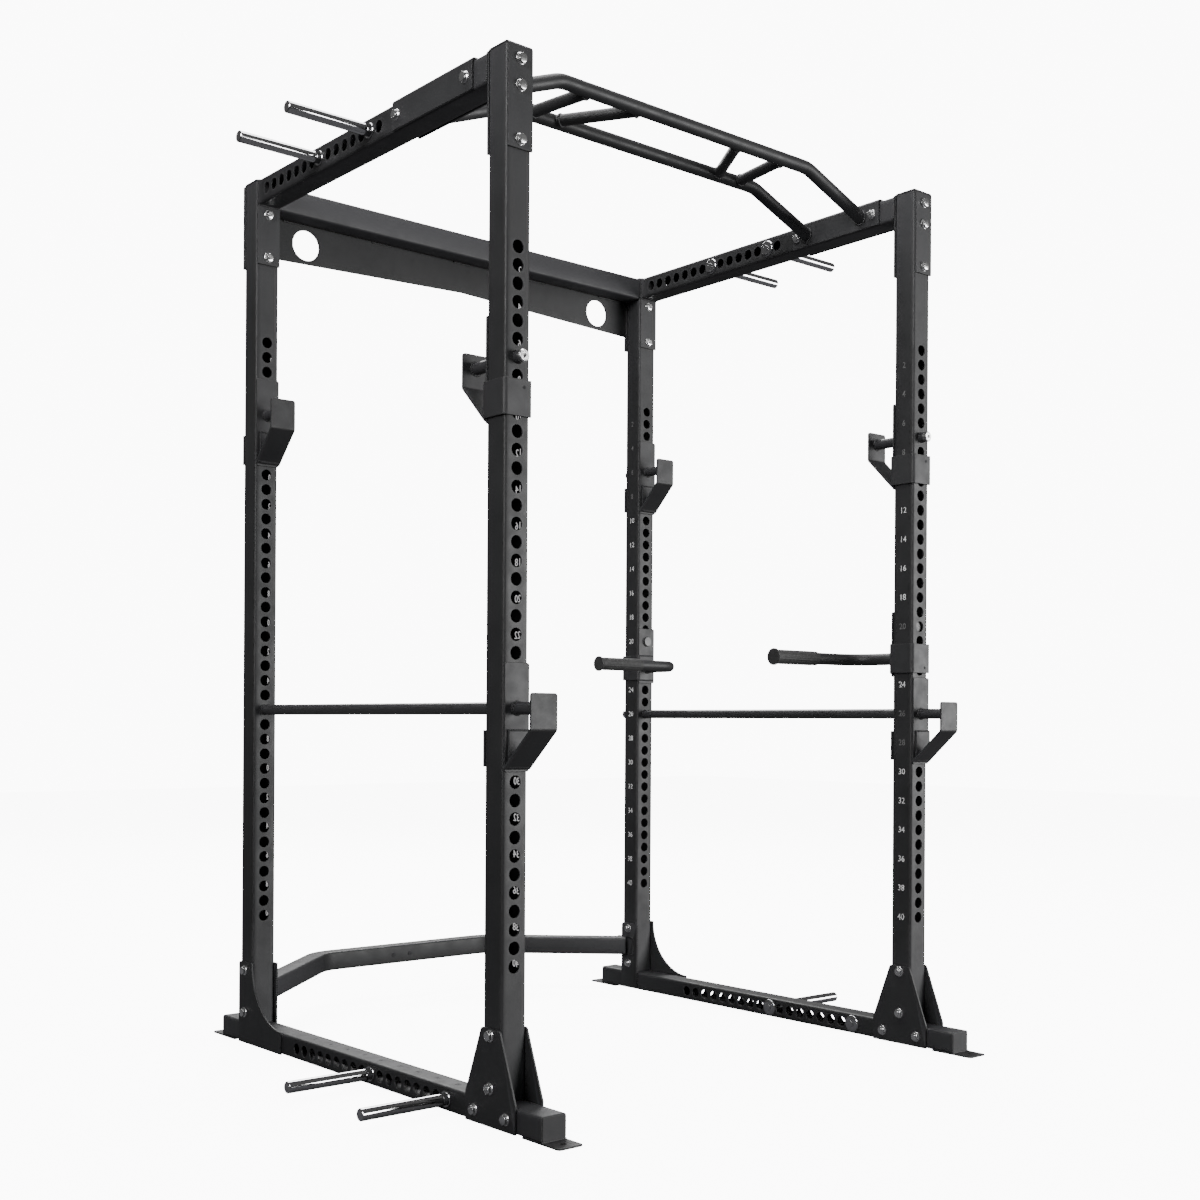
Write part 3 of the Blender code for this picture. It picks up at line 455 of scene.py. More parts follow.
# %% [markdown]
# ## Bent plate, flat plate and swept bar
#
# Brackets, saddles, collars and lips are strips of plate bent in a brake. A strip is a path in one
# plane, with rounded corners, carried across its width. A flat plate is one outline with rounded
# corners. A bar is a cross-section carried along a path. The wall and the soft edges come from
# the modifiers in `make_piece`.


# %% Paths and strips
def rounded_path(corners, radius, steps=6):
    """A path whose inner corners are arcs: cut back by r tan(turn/2), then swung by the turn."""
    corners = np.asarray(corners, float)
    pieces = [corners[:1]]
    for before, corner, after in zip(corners, corners[1:], corners[2:]):
        arriving, leaving = unit(corner - before), unit(after - corner)
        turn = math.acos(float(np.clip(arriving @ leaving, -1, 1)))
        centre = corner + unit(leaving - arriving) * radius / math.cos(turn / 2)
        start = corner - arriving * radius * math.tan(turn / 2)
        spoke = (start - centre) / radius
        angle = np.linspace(0, turn, steps + 1)[:, None]
        pieces.append(centre + radius * (spoke * np.cos(angle) + arriving * np.sin(angle)))
    pieces.append(corners[-1:])
    return np.vstack(pieces)


def strip(path, across, half_width, columns=2):
    """A bent strip: the path, carried to both sides along the across direction."""
    offsets = np.linspace(-half_width, half_width, columns)
    points = path[:, None, :] + offsets[None, :, None] * np.asarray(across, float)
    return grid(points)


def outline_arc(corners, radii, steps=5):
    """A closed flat outline with each corner rounded to its own radius, in 2-D."""
    corners = np.asarray(corners, float)
    count = len(corners)
    parts = []
    for index in range(count):
        if radii[index] <= 0:
            parts.append(corners[index:index + 1])
            continue
        three = corners[[index - 1, index, (index + 1) % count]]
        flat = np.pad(three, ((0, 0), (0, 1)))
        parts.append(rounded_path(flat, radii[index], steps)[1:-1, :2])
    return np.vstack(parts)


def sweep(path, profile, side, caps=True):
    """A bar: at each point the profile lies across the path, in the side and side x forward axes."""
    path = np.asarray(path, float)
    side = np.asarray(side, float)
    forward = unit(np.gradient(path, axis=0))
    up = np.cross(np.broadcast_to(side, forward.shape), forward)
    points = path[:, None, :] + profile[None, :, :1] * side + profile[None, :, 1:] * up[:, None, :]
    patches = [grid(points, wrap_columns=True)]
    if caps:
        for row in (0, -1):
            centre = np.repeat(path[row][None], len(profile), axis=0)
            patches.append(grid(np.stack([points[row], centre]), wrap_columns=True))
    return patches


def circle(radius, sides=24):
    angle = full_turn(sides)
    return np.stack([radius * np.cos(angle), radius * np.sin(angle)], axis=1)


def rounded_square(half_a, half_b, radius, steps=4):
    return outline_arc([(-half_a, -half_b), (half_a, -half_b), (half_a, half_b), (-half_a, half_b)],
                       [radius] * 4, steps)


def spun(profile, start, forward, sides=32):
    """A turned shape: (distance, radius) pairs about an axis."""
    forward = np.asarray(forward, float)
    side = unit(np.cross(forward, (0, 0, 1)) if abs(forward[2]) < 0.9 else (1.0, 0, 0))
    up = np.cross(forward, side)
    angle = full_turn(sides)
    profile = np.asarray(profile, float)
    distance, radius = profile[:, 0][:, None], profile[:, 1][:, None]
    ring = np.cos(angle)[None, :, None] * side + np.sin(angle)[None, :, None] * up
    points = np.asarray(start, float) + distance[..., None] * forward + radius[..., None] * ring
    return grid(points, wrap_columns=True)


# %% [markdown]
# ## Weld beads
#
# A weld is a row of small overlapping scallops. The bead is a thin bar along the joint whose
# radius rises and falls as the wave of a sine, one wave for each scallop.


# %% Beads
SCALLOP = 0.0045
SCALLOP_RISE = 0.16
POINTS_PER_SCALLOP = 5
BEAD_SIDES = 8
RING_POINTS = 90


def bead(path, side, size):
    """A weld bead along a path; its radius is size x (1 + rise x sin(2 pi s / scallop))."""
    path = np.asarray(path, float)
    run = np.concatenate([[0.0], np.cumsum(np.linalg.norm(np.diff(path, axis=0), axis=1))])
    count = max(int(run[-1] / SCALLOP * POINTS_PER_SCALLOP), 8)
    s = np.linspace(0, run[-1], count)
    fine = np.stack([np.interp(s, run, path[:, axis]) for axis in range(3)], axis=1)
    radius = size * (1 + SCALLOP_RISE * np.sin(2 * math.pi * s / SCALLOP))
    radius[[0, -1]] *= 0.3
    forward = unit(np.gradient(fine, axis=0))
    side = np.broadcast_to(np.asarray(side, float), forward.shape)
    up = np.cross(side, forward)
    angle = full_turn(BEAD_SIDES)[None, :, None]
    ring = np.cos(angle) * side[:, None] + np.sin(angle) * up[:, None]
    points = fine[:, None] + radius[:, None, None] * ring
    tips = [grid(np.stack([points[row], np.repeat(fine[row][None], BEAD_SIDES, axis=0)]),
                 wrap_columns=True) for row in (0, -1)]
    return stack([grid(points, wrap_columns=True)] + tips)


def ring_bead(centre, axis, radius, size):
    """A bead round a bar; the slanted direction only has to differ from every axis in use."""
    axis = unit(axis)
    one = unit(np.cross(axis, (0.13, 0.2, 1.0)))
    two = np.cross(axis, one)
    angle = np.linspace(0, 2 * math.pi, RING_POINTS)[:, None]
    path = np.asarray(centre) + radius * (np.cos(angle) * one + np.sin(angle) * two)
    return bead(path, axis, size)


# %% [markdown]
# ## Uprights
#
# Each upright is 60 mm tube with 40 holes through its front and rear faces. Every second hole has
# its number on the inner side face, so that a lifter sets both sides alike. The numbers are cut
# through the wall: outside they are painted pale for the light seen through them, or dark where a
# part behind shades them, and inside the wall they glow with that light.

# %% Uprights and their numbers
NUMBER_HEIGHT = 0.021
# Cut numbers painted dark, as shade, instead of pale: those below FIRST_CLEAR_NUMBER, and SHADED_NUMBERS
# on the front uprights.
FIRST_CLEAR_NUMBER = 10
SHADED_NUMBERS = (20, 26, 28)   # painted dark: a pin or a collar behind these shades the light through their cuts
BASE_NUMBER_HEIGHT = 0.015
INK = 0.0002
QUARTER_TURN = Matrix.Rotation(math.pi / 2, 4, "Z")
HALF_ROLL = Matrix.Rotation(math.pi, 4, "Y")


def text_patch(words, size, place):
    """The mesh of a short text, laid in its own plane and moved by a matrix."""
    curve = bpy.data.curves.new("number", "FONT")
    curve.body = words
    curve.size = size
    curve.align_x = "CENTER"
    curve.align_y = "CENTER"
    curve.extrude = INK
    curve.resolution_u = 3
    item = linked("number", curve)
    item.matrix_world = place
    bpy.context.view_layer.update()
    mesh = evaluated_mesh(item)
    mesh.transform(place)
    bpy.data.objects.remove(item)
    bpy.data.curves.remove(curve)
    return mesh


def numbers(name, items, finish):
    """One piece from many short texts: items are (words, size, matrix)."""
    shape = bmesh.new()
    for words, size, place in items:
        mesh = text_patch(words, size, place)
        shape.from_mesh(mesh)
        bpy.data.meshes.remove(mesh)
    bmesh.ops.remove_doubles(shape, verts=shape.verts, dist=MERGE_WITHIN / 4)
    bmesh.ops.recalc_face_normals(shape, faces=shape.faces)
    mesh = bpy.data.meshes.new(name)
    shape.to_mesh(mesh)
    shape.free()
    return make_piece(mesh, finish)


def facing(side_x, place):
    """A text plane on a face that looks along X, upright and readable from outside it."""
    x_axis, y_axis, z_axis = (0, -side_x, 0), (0, 0, 1), (-side_x, 0, 0)
    turn = Matrix((x_axis, y_axis, z_axis)).transposed().to_4x4()
    return Matrix.Translation(place) @ turn


def row_numbers(name, holes, x, z, turn):
    """Small dark numbers at every second hole of a row along Y."""
    items = [(str(number), BASE_NUMBER_HEIGHT, Matrix.Translation((x, holes[number - 1], z)) @ turn)
             for number in range(2, len(holes) + 1, 2)]
    numbers(name, items, "hole_shade_and_numbers")


def make_upright(end, side):
    node = f"upright_{end}_{side}"
    x, y, _ = middle(node)
    bottom, top = ends(node, 2)
    holes = TOP_HOLE_Z - PITCH * np.arange(UPRIGHT_HOLES)
    patches = tube_skin(bottom, top, TUBE_MID, TUBE_MID, holes, (1, 3))
    part(f"tube_{end}_{side}", placed(patches, [1, 2, 0], (x, y, 0)), wall=WALL, stands_for=(node,))
    inward = SIDES[side]
    face_x = x - inward * TUBE / 2
    inner_x = x - inward * (TUBE / 2 - WALL - INK)
    faint, clear, inside = [], [], []
    for number in range(2, UPRIGHT_HOLES + 1, 2):
        z = TOP_HOLE_Z - PITCH * (number - 1)
        item = (str(number), NUMBER_HEIGHT, facing(inward, (face_x, y, z)))
        # Painted light and shade: numbers in the open get pale paint for the light through their cuts,
        # shaded ones dark paint, and the copies inside the wall a glow.
        shaded = number < FIRST_CLEAR_NUMBER or (end == "front" and number in SHADED_NUMBERS)
        (faint if shaded else clear).append(item)
        inside.append((str(number), NUMBER_HEIGHT, facing(inward, (inner_x, y, z))))
    numbers(f"numbers_{end}_{side}", clear, "enamel")
    numbers(f"numbers_faint_{end}_{side}", faint, "cut_shade_paint")
    numbers(f"numbers_inside_{end}_{side}", inside, "daylight")


for end in UPRIGHT_Y:
    for side in SIDES:
        make_upright(end, side)
print("uprights: 4, with", UPRIGHT_HOLES, "holes each")

# %% [markdown]
# ## Base tubes
#
# The base tube is closed by a welded cap at each end, and stands on two foot plates with an anchor
# hole. Its holes run along the middle, and small numbers run along the top.

# %% Base tubes
BASE_HALF_HEIGHT = 0.025
BASE_LIFT = 0.003
FOOT_THICK = 0.004
FOOT_CORNER = 0.006
FOOT_UNDER = 0.060
FOOT_REACH = {"front": 0.053, "rear": 0.055}
BASE_FIRST_HOLE = 0.248
ANCHOR_RADIUS = 0.006


def foot_plate(x, inner_y, outer_y, hole_y):
    """A plate made of a plain stretch and a punched stretch, with rounded outer corners."""
    half = TUBE / 2
    sign = 1 if outer_y > inner_y else -1
    reach = abs(outer_y - hole_y)
    ring = hole_cell(reach, half, ANCHOR_RADIUS)
    ring[0] = soft_corners(ring[0], reach, half, FOOT_CORNER)
    ring[1] = (ring[0] + ring[2]) / 2
    z = FOOT_THICK / 2
    flat_z = np.full(ring.shape[:2], z)
    local = np.stack([x + ring[..., 1], hole_y + sign * ring[..., 0], flat_z], axis=2)
    edge = hole_y - sign * reach
    y, across = np.meshgrid([inner_y, edge], np.linspace(-half, half, STEPS + 1), indexing="ij")
    plain = np.stack([x + across, y, np.full_like(y, z)], axis=2)
    return [grid(local, wrap_columns=True), grid(plain)]


def soft_corners(points, half_s, half_a, radius):
    """Pulls the far corners of a rectangle's outline onto arcs of the radius."""
    near = np.array([half_s - radius, half_a - radius])
    away = np.abs(points) - near
    corner = (away > 0).all(axis=1) & (points[:, 0] > 0)
    length = np.linalg.norm(np.maximum(away, 1e-9), axis=1, keepdims=True)
    pulled = np.sign(points) * (near + np.maximum(away, 0) / length * radius)
    return np.where(corner[:, None], pulled, points)


def make_base(side):
    node = f"base_{side}"
    x = middle(node)[0]
    low, high = ends(node, 1)
    front, rear = low + FOOT_REACH["front"], high - FOOT_REACH["rear"]
    z = BASE_LIFT + BASE_HALF_HEIGHT
    half_u, half_v = TUBE_MID, BASE_HALF_HEIGHT - WALL / 2
    holes = REAR_Y - BASE_FIRST_HOLE - PITCH * np.arange(BASE_HOLES)
    patches = tube_skin(front, rear, half_u, half_v, holes, (0, 2))
    part(f"base_tube_{side}", placed(patches, [1, 0, 2], (x, 0, z)), wall=WALL, stands_for=(node,))
    ring = rounded_square(half_u, half_v, TUBE_CORNER)
    ends_of_tube = (("front", front, -1, low), ("rear", rear, 1, high))
    for end, y, _, _ in ends_of_tube:
        part(f"base_cap_{side}_{end}", [], [on_y(y, ring + (x, z))], wall=WALL, bevel=0.0012, angle=60)
    seams = []
    for end, y, sign, outer_y in ends_of_tube:
        plate = foot_plate(x, y - sign * FOOT_UNDER, outer_y, (outer_y + y) / 2)
        part(f"foot_{side}_{end}", plate, wall=FOOT_THICK, bevel=0.0008)
        line = [(x + half, y + sign * 0.001, FOOT_THICK) for half in (-TUBE / 2, TUBE / 2)]
        seams.append(bead(line, (0, 0, 1), size=0.0022))
    part(f"foot_welds_{side}", seams)
    row_numbers(f"base_numbers_{side}", holes, x, BASE_LIFT + 2 * BASE_HALF_HEIGHT, QUARTER_TURN)


for side in SIDES:
    make_base(side)
print("base tubes: 2")

# %% [markdown]
# ## Top beams
#
# A side beam is welded between two brackets, each a strip bent into an upside-down U that drops
# over an upright.

# %% Top beams with brackets
BRACKET_LEG = 0.207
BEND = 0.008
LEG_OFF = 0.0328            # from a tube's centre to the middle of a leg that clasps it
BEAM_FIRST_HOLE = 0.078


def clasp(centre, foot, top, opening, half_width, bend):
    """A strip bent into an upside-down U whose legs stand LEG_OFF to both sides along opening."""
    off = LEG_OFF * np.asarray(opening, float)
    legs = ((-off, foot), (-off, top), (off, top), (off, foot))
    corners = [np.array((*centre, z)) + side for side, z in legs]
    return strip(rounded_path(corners, bend), np.abs(np.cross(opening, (0, 0, 1))), half_width)


def make_top_beam(side):
    node = f"top_beam_{side}"
    x = middle(node)[0]
    foot, top = HEIGHT - BRACKET_LEG, HEIGHT - PLATE / 2
    brackets = [clasp((x, y), foot, top, (0, 1, 0), TUBE / 2, BEND) for y in UPRIGHT_Y.values()]
    part(f"brackets_{side}", brackets, wall=PLATE, bevel=SOFT_EDGE, stands_for=(node,))
    start, stop = FRONT_Y + LEG_OFF, REAR_Y - LEG_OFF
    holes = REAR_Y - BEAM_FIRST_HOLE - PITCH * np.arange(BEAM_HOLES)
    patches = tube_skin(start, stop, TUBE_MID, TUBE_MID, holes, (0, 2))
    part(f"beam_{side}", placed(patches, [1, 0, 2], (x, 0, BEAM_Z)), wall=WALL)
    seams = []
    outline = closed(rounded_square(TUBE / 2, TUBE / 2, TUBE_CORNER))
    for y in (start + PLATE / 2, stop - PLATE / 2):
        seams.append(bead(on_y(y, outline + (x, BEAM_Z)), (0, 1, 0), size=0.0022))
    part(f"beam_welds_{side}", seams)
    row_numbers(f"beam_numbers_{side}", holes, x, BEAM_Z - TUBE / 2, HALF_ROLL @ QUARTER_TURN)


for side in SIDES:
    make_top_beam(side)
print("top beams: 2")

# %% [markdown]
# ## Rear crossmembers
#
# The upper one is a tube with a plate that hangs behind it, with a round port near each end. The
# lower one is a tube bent back in two places, so that a bench can stand deep in the cage.

# %% Upper rear crossmember
HANG_END_Z, HANG_MIDDLE_Z, HANG_TAB_Z = 1.951, 1.973, 1.909
PORT_X, PORT_Z, PORT_RADIUS = 0.484, 2.003, 0.038
PORT_CELL = 0.048
HAIR_GAP = 0.0005
STITCH_REACH, STITCH_STEP, STITCH_HALF = 0.52, 0.26, 0.03


def hang_z(x):
    """The plate's lower edge: a straight slope from the middle to each end."""
    inner = HALF_X - TUBE / 2
    return HANG_MIDDLE_Z + (HANG_END_Z - HANG_MIDDLE_Z) * np.minimum(np.abs(x) / inner, 1.0)


def plate_cell(x0, x1, top, y):
    """A plain stretch of hanging plate between two places along X."""
    x, t = np.meshgrid(np.linspace(x0, x1, 9), np.linspace(0, 1, STEPS + 1), indexing="ij")
    bottom = hang_z(x)
    return grid(np.stack([x, np.full_like(x, y), bottom + t * (top - bottom)], axis=2))


def port_cell(centre, top, y):
    """A stretch with a port: a ring from the circle out to the stretch's own outline."""
    outer = square_points(1.0, 1.0)
    x = centre + outer[:, 0] * PORT_CELL
    bottom = hang_z(x)
    z = bottom + (outer[:, 1] + 1) / 2 * (top - bottom)
    away = np.stack([x - centre, z - PORT_Z], axis=1)
    inner = PORT_RADIUS * away / np.linalg.norm(away, axis=1, keepdims=True)
    rings = []
    for share in (0.0, 0.5, 1.0):
        rx = x + share * (centre + inner[:, 0] - x)
        rz = z + share * (PORT_Z + inner[:, 1] - z)
        rings.append(np.stack([rx, np.full_like(rx, y), rz], axis=1))
    return grid(np.stack(rings), wrap_columns=True)


def make_rear_top():
    _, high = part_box("rear_top_crossmember")
    y = high[1] - PLATE / 2
    top = high[2]
    inner = HALF_X - TUBE / 2
    outer = HALF_X + TUBE / 2
    near, far = PORT_X - PORT_CELL, PORT_X + PORT_CELL
    patches = [plate_cell(x0, x1, top, y) for x0, x1 in ((-inner, -far), (-near, near), (far, inner))]
    patches += [port_cell(sign * PORT_X, top, y) for sign in (-1, 1)]
    for sign in (-1, 1):
        tab_edge = np.linspace(HANG_TAB_Z, HANG_END_Z, 5)
        main = np.linspace(HANG_END_Z, top, STEPS + 1)
        z = np.concatenate([tab_edge, main[1:]])
        x = np.array([inner, (inner + outer) / 2, outer]) * sign
        grid_x, grid_z = np.meshgrid(x, z, indexing="ij")
        patches.append(grid(np.stack([grid_x, np.full_like(grid_x, y), grid_z], axis=2)))
    part("hanging_plate", patches, wall=PLATE, bevel=SOFT_EDGE, stands_for=("rear_top_crossmember",))
    outline = rounded_square(TUBE_MID, TUBE_MID, TUBE_CORNER)
    reach = inner - HAIR_GAP
    path = [(-reach, REAR_Y, BEAM_Z), (reach, REAR_Y, BEAM_Z)]
    part("rear_top_tube", sweep(path, outline, (0, 1, 0), caps=False), wall=WALL)
    seams = []
    for x in np.arange(-STITCH_REACH, STITCH_REACH + 0.01, STITCH_STEP):
        line = [(x + half, y - PLATE / 2, BEAM_Z - TUBE / 2) for half in (-STITCH_HALF, STITCH_HALF)]
        seams.append(bead(line, (0, 1, 0), size=0.0025))
    part("rear_top_welds", seams)


make_rear_top()

# %% Lower rear crossmember
BOW_HALF = 0.025
BOW_Z = 0.130
BOW_BACK = 0.300
BOW_START_BACK = 0.012
BOW_BEND_X = HALF_X - 0.346
BOW_BEND_RADIUS = 0.110
END_PLATE = {"front": 0.038, "rear": 0.030, "foot": 0.006, "top": 0.197}
END_PLATE_CORNER = 0.008
TEETH, TOOTH_DEPTH = 34, 0.002
# Thin near-black discs on the bowed tube that stand for small holes: painted hole shade.
HOLE_SHADE_X = (-0.055, 0.0)
HOLE_SHADE_PROFILE = [(0, 0), (0, 0.0065), (0.0012, 0.006), (0.0016, 0.0)]


def toothed_edge(y, low, high):
    """The end plate's edge: a row of small round teeth, a rectified sine wave."""
    t = np.linspace(0, 1, TEETH * 4 + 1)
    in_out = y - TOOTH_DEPTH * np.abs(np.sin(math.pi * TEETH * t))
    return np.column_stack([in_out, high + (low - high) * t])


def make_rear_bottom():
    plate_in = HALF_X - TUBE / 2 - PLATE
    start_y, back_y = REAR_Y + BOW_START_BACK, REAR_Y + BOW_BACK
    corners = [(-plate_in, start_y, BOW_Z), (-BOW_BEND_X, back_y, BOW_Z),
               (BOW_BEND_X, back_y, BOW_Z), (plate_in, start_y, BOW_Z)]
    path = rounded_path(corners, BOW_BEND_RADIUS, 14)
    half = BOW_HALF - WALL / 2
    skin = sweep(path, rounded_square(half, half, TUBE_CORNER), (0, 0, 1), caps=False)
    part("bowed_tube", skin, wall=WALL, stands_for=("rear_bottom_crossmember",))
    seams = []
    lean = (back_y - start_y) / (plate_in - BOW_BEND_X)
    for side, sign in SIDES.items():
        y0, y1 = REAR_Y - END_PLATE["front"], REAR_Y + END_PLATE["rear"]
        z0, z1 = END_PLATE["foot"], END_PLATE["top"]
        root = y0 + TOOTH_DEPTH
        body = outline_arc([(root, z0), (y1, z0), (y1, z1), (root, z1)],
                           [0, END_PLATE_CORNER, END_PLATE_CORNER, 0])
        outline = np.vstack([body, toothed_edge(root, z0, z1)[1:-1]])
        x = sign * (plate_in + PLATE / 2)
        part(f"bow_plate_{side}", [], [on_x(x, outline)], wall=PLATE)
        ring = closed(rounded_square(BOW_HALF * math.hypot(1, lean), BOW_HALF, TUBE_CORNER))
        path = on_x(x - sign * PLATE / 2, ring + (start_y, BOW_Z))
        seams.append(bead(path, (1, 0, 0), size=0.0024))
    part("bow_welds", seams)
    # Painted shade: thin near-black discs where the tube shows small holes.
    for index, x in enumerate(HOLE_SHADE_X):
        hole_shade_disc = spun(HOLE_SHADE_PROFILE, (x, back_y - BOW_HALF, BOW_Z), (0, -1, 0), 20)
        part(f"bow_hole_shade_{index}", [hole_shade_disc], finish="hole_shade_and_numbers")


make_rear_bottom()
print("rear crossmembers: 2")

# %% [markdown]
# ## Pull-up bar
#
# Two round bars rise from saddles over the side beams, with two angled grips to each side between
# them. The ends are cut to fit and welded round.

# %% Bars, grips and saddles
BAR_RADIUS = 0.016
BAR_Z = 2.162
BAR_Y = {"front": FRONT_Y + 0.139, "rear": FRONT_Y + 0.322}
BAR_BEND_X = 0.390
BAR_BEND_RADIUS = 0.090
SADDLE_Y = (FRONT_Y + 0.080, FRONT_Y + 0.371)
SADDLE_BEND, SADDLE_GAP = 0.006, 0.0003
GRIPS = ((0.332, 0.305), (0.262, 0.150))
GRIP_RADIUS = 0.0135


def make_pull_up_bar():
    reach = HALF_X - TUBE / 2 - PLATE / 2
    bars, seams = [], []
    for y in BAR_Y.values():
        corners = [(-reach, y, BEAM_Z), (-BAR_BEND_X, y, BAR_Z),
                   (BAR_BEND_X, y, BAR_Z), (reach, y, BEAM_Z)]
        bars += sweep(rounded_path(corners, BAR_BEND_RADIUS, 12), circle(BAR_RADIUS, 32), (0, 1, 0))
        for sign in SIDES.values():
            place = (sign * (HALF_X - TUBE / 2 - PLATE - HAIR_GAP), y, BEAM_Z)
            seams.append(ring_bead(place, (1, 0, 0), BAR_RADIUS * 1.04, size=0.003))
    part("pull_up_bars", bars, angle=ROUND_ANGLE, stands_for=("pull_up_bar",))
    grips = []
    for sign in SIDES.values():
        for rear_x, front_x in GRIPS:
            rear = np.array((sign * rear_x, BAR_Y["rear"], BAR_Z))
            front = np.array((sign * front_x, BAR_Y["front"], BAR_Z))
            grips += sweep(np.linspace(rear, front, 9), circle(GRIP_RADIUS, 28), (0, 0, 1))
            run = unit(front - rear)
            cut = run * BAR_RADIUS / abs(run[1])
            lean = run + (0, 0.6 * run[1], 0)
            for place in (rear + cut, front - cut):
                seams.append(ring_bead(place, lean, GRIP_RADIUS, size=0.0026))
    part("pull_up_grips", grips, angle=ROUND_ANGLE)
    part("pull_up_welds", seams)
    for side, sign in SIDES.items():
        x, y = sign * HALF_X, sum(SADDLE_Y) / 2
        foot, top = BEAM_Z - TUBE / 2, BEAM_Z + TUBE / 2 + PLATE / 2 + SADDLE_GAP
        half = (SADDLE_Y[1] - SADDLE_Y[0]) / 2
        saddle = clasp((x, y), foot, top, (1, 0, 0), half, SADDLE_BEND)
        part(f"saddle_{side}", [saddle], wall=PLATE, bevel=SOFT_EDGE)


make_pull_up_bar()
print("pull-up bar: 2 bars, 4 grips")

# %% [markdown]
# ## Gussets
#
# The feet of the uprights are boxed in by laser-cut plates. The front ones taper up from the base
# tube. The rear ones sweep forward along the base in a quarter circle.

# %% Gusset outlines
GUSSET_HALF_BASE = 0.082
GUSSET_SHOULDER = 0.059
ARC_REACH, ARC_RADIUS = 0.180, 0.145
FOOT_ROUND, SHOULDER_ROUND, TOP_ROUND = 0.002, 0.006, 0.007


def make_front_gusset(node):
    low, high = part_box(node)
    x = (low[0] + high[0]) / 2
    top, half = high[2], TUBE / 2
    base = GUSSET_HALF_BASE
    corners = [(-base, low[2]), (base, low[2]), (base, GUSSET_SHOULDER), (half, top), (-half, top),
               (-base, GUSSET_SHOULDER)]
    radii = [FOOT_ROUND, FOOT_ROUND, SHOULDER_ROUND, TOP_ROUND, TOP_ROUND, SHOULDER_ROUND]
    outline = on_x(x, outline_arc(corners, radii) + (FRONT_Y, 0))
    part(f"plate_{node}", [], [outline], wall=high[0] - low[0], bevel=FINE_EDGE, stands_for=(node,))


def make_rear_gusset(node):
    low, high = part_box(node)
    x = (low[0] + high[0]) / 2
    top = high[2]
    centre = np.array((REAR_Y - ARC_REACH, top))
    angle = np.linspace(0, -math.pi / 2, 28)
    arc = centre + ARC_RADIUS * np.stack([np.cos(angle), np.sin(angle)], axis=1)
    back = REAR_Y + TUBE / 2
    start = outline_arc([(back, low[2]), (back, top), tuple(arc[0]), (centre[0], low[2])],
                        [FOOT_ROUND, TOP_ROUND, 0, 0])
    outline = on_x(x, np.vstack([start[:-2], arc, start[-1:]]))
    part(f"plate_{node}", [], [outline], wall=high[0] - low[0], bevel=FINE_EDGE, stands_for=(node,))


for side in SIDES:
    make_front_gusset(f"gusset_front_{side}_outer")
    make_front_gusset(f"gusset_front_{side}_inner")
    make_rear_gusset(f"gusset_rear_{side}")
print("gussets: 6")

# %% [markdown]
# ## Bolts
#
# Each joint has a flanged hexagon bolt, a washer, and a nut with the thread's tip showing. A hexagon
# is a turned shape whose radius depends on the angle: the apothem over the cosine of the angle
# from the middle of a flat. The chamfer is a cone that cuts the corners, so the radius is the
# smaller of the two.

# %% Hexagon heads, washers and nuts
BOLT_HALF_FLAT = 0.0092
WASHER_RADIUS = 0.0123
WASHER_TOP, FLANGE_TOP = 0.0018, 0.0040
FLANGE_RADIUS = 0.0112
HEAD_FOOT, HEAD_TOP = 0.0036, 0.0088
THREAD_RADIUS, THREAD_DEPTH, THREAD_PITCH = 0.0056, 0.0003, 0.00125
SHANK_RADIUS = 0.0058
BOX_PAST_FACE = 0.0093      # how far a bolt's box goes past each clamped face
METAL_ANGLE = 32
WASHER = [(0, 0), (0, WASHER_RADIUS), (0.0012, WASHER_RADIUS), (WASHER_TOP, WASHER_RADIUS - 0.0006),
          (WASHER_TOP, 0)]


def hexagon(start, forward, low, high, half_flat=BOLT_HALF_FLAT, sides=72):
    """A hexagonal head between two distances, chamfered at its far end."""
    flat = half_flat / np.cos((full_turn(sides) + math.pi / 6) % (math.pi / 3) - math.pi / 6)
    rise = (high - low) * np.array([0.0, 0.0, 0.62, 0.80, 0.93, 1.0, 1.0])
    cone = np.array([0.0, 2.0, 1.155, 1.09, 1.0, 0.90, 0.0])[:, None] * half_flat
    radius = np.minimum(flat[None, :], cone)
    ring, _ = spun([(0.0, 1.0)], (0, 0, 0), forward, sides)
    forward = np.asarray(forward, float)
    start = np.asarray(start, float) + forward * low
    points = start + rise[:, None, None] * forward + radius[..., None] * ring[None]
    return grid(points, wrap_columns=True)


def head_patches(face, out):
    """Washer, flange and hexagon, from the clamped face outwards."""
    flange = [(WASHER_TOP, 0), (WASHER_TOP, FLANGE_RADIUS), (0.0026, FLANGE_RADIUS),
              (FLANGE_TOP, BOLT_HALF_FLAT), (FLANGE_TOP, 0)]
    return [spun(WASHER, face, out), spun(flange, face, out), hexagon(face, out, HEAD_FOOT, HEAD_TOP)]


def nut_patches(face, out):
    """Washer, nut and the threaded tip of the bolt."""
    tip_top = HEAD_TOP + 0.0004
    depth = np.linspace(WASHER_TOP, tip_top, 25)
    thread = THREAD_RADIUS + THREAD_DEPTH * np.cos(2 * math.pi * (depth - WASHER_TOP) / THREAD_PITCH)
    tip = [(WASHER_TOP, 0), *zip(depth, thread), (tip_top, 0)]
    nut = hexagon(face, out, WASHER_TOP, HEAD_TOP - 0.0016)
    return [spun(WASHER, face, out), nut, spun(tip, face, out, 20)]


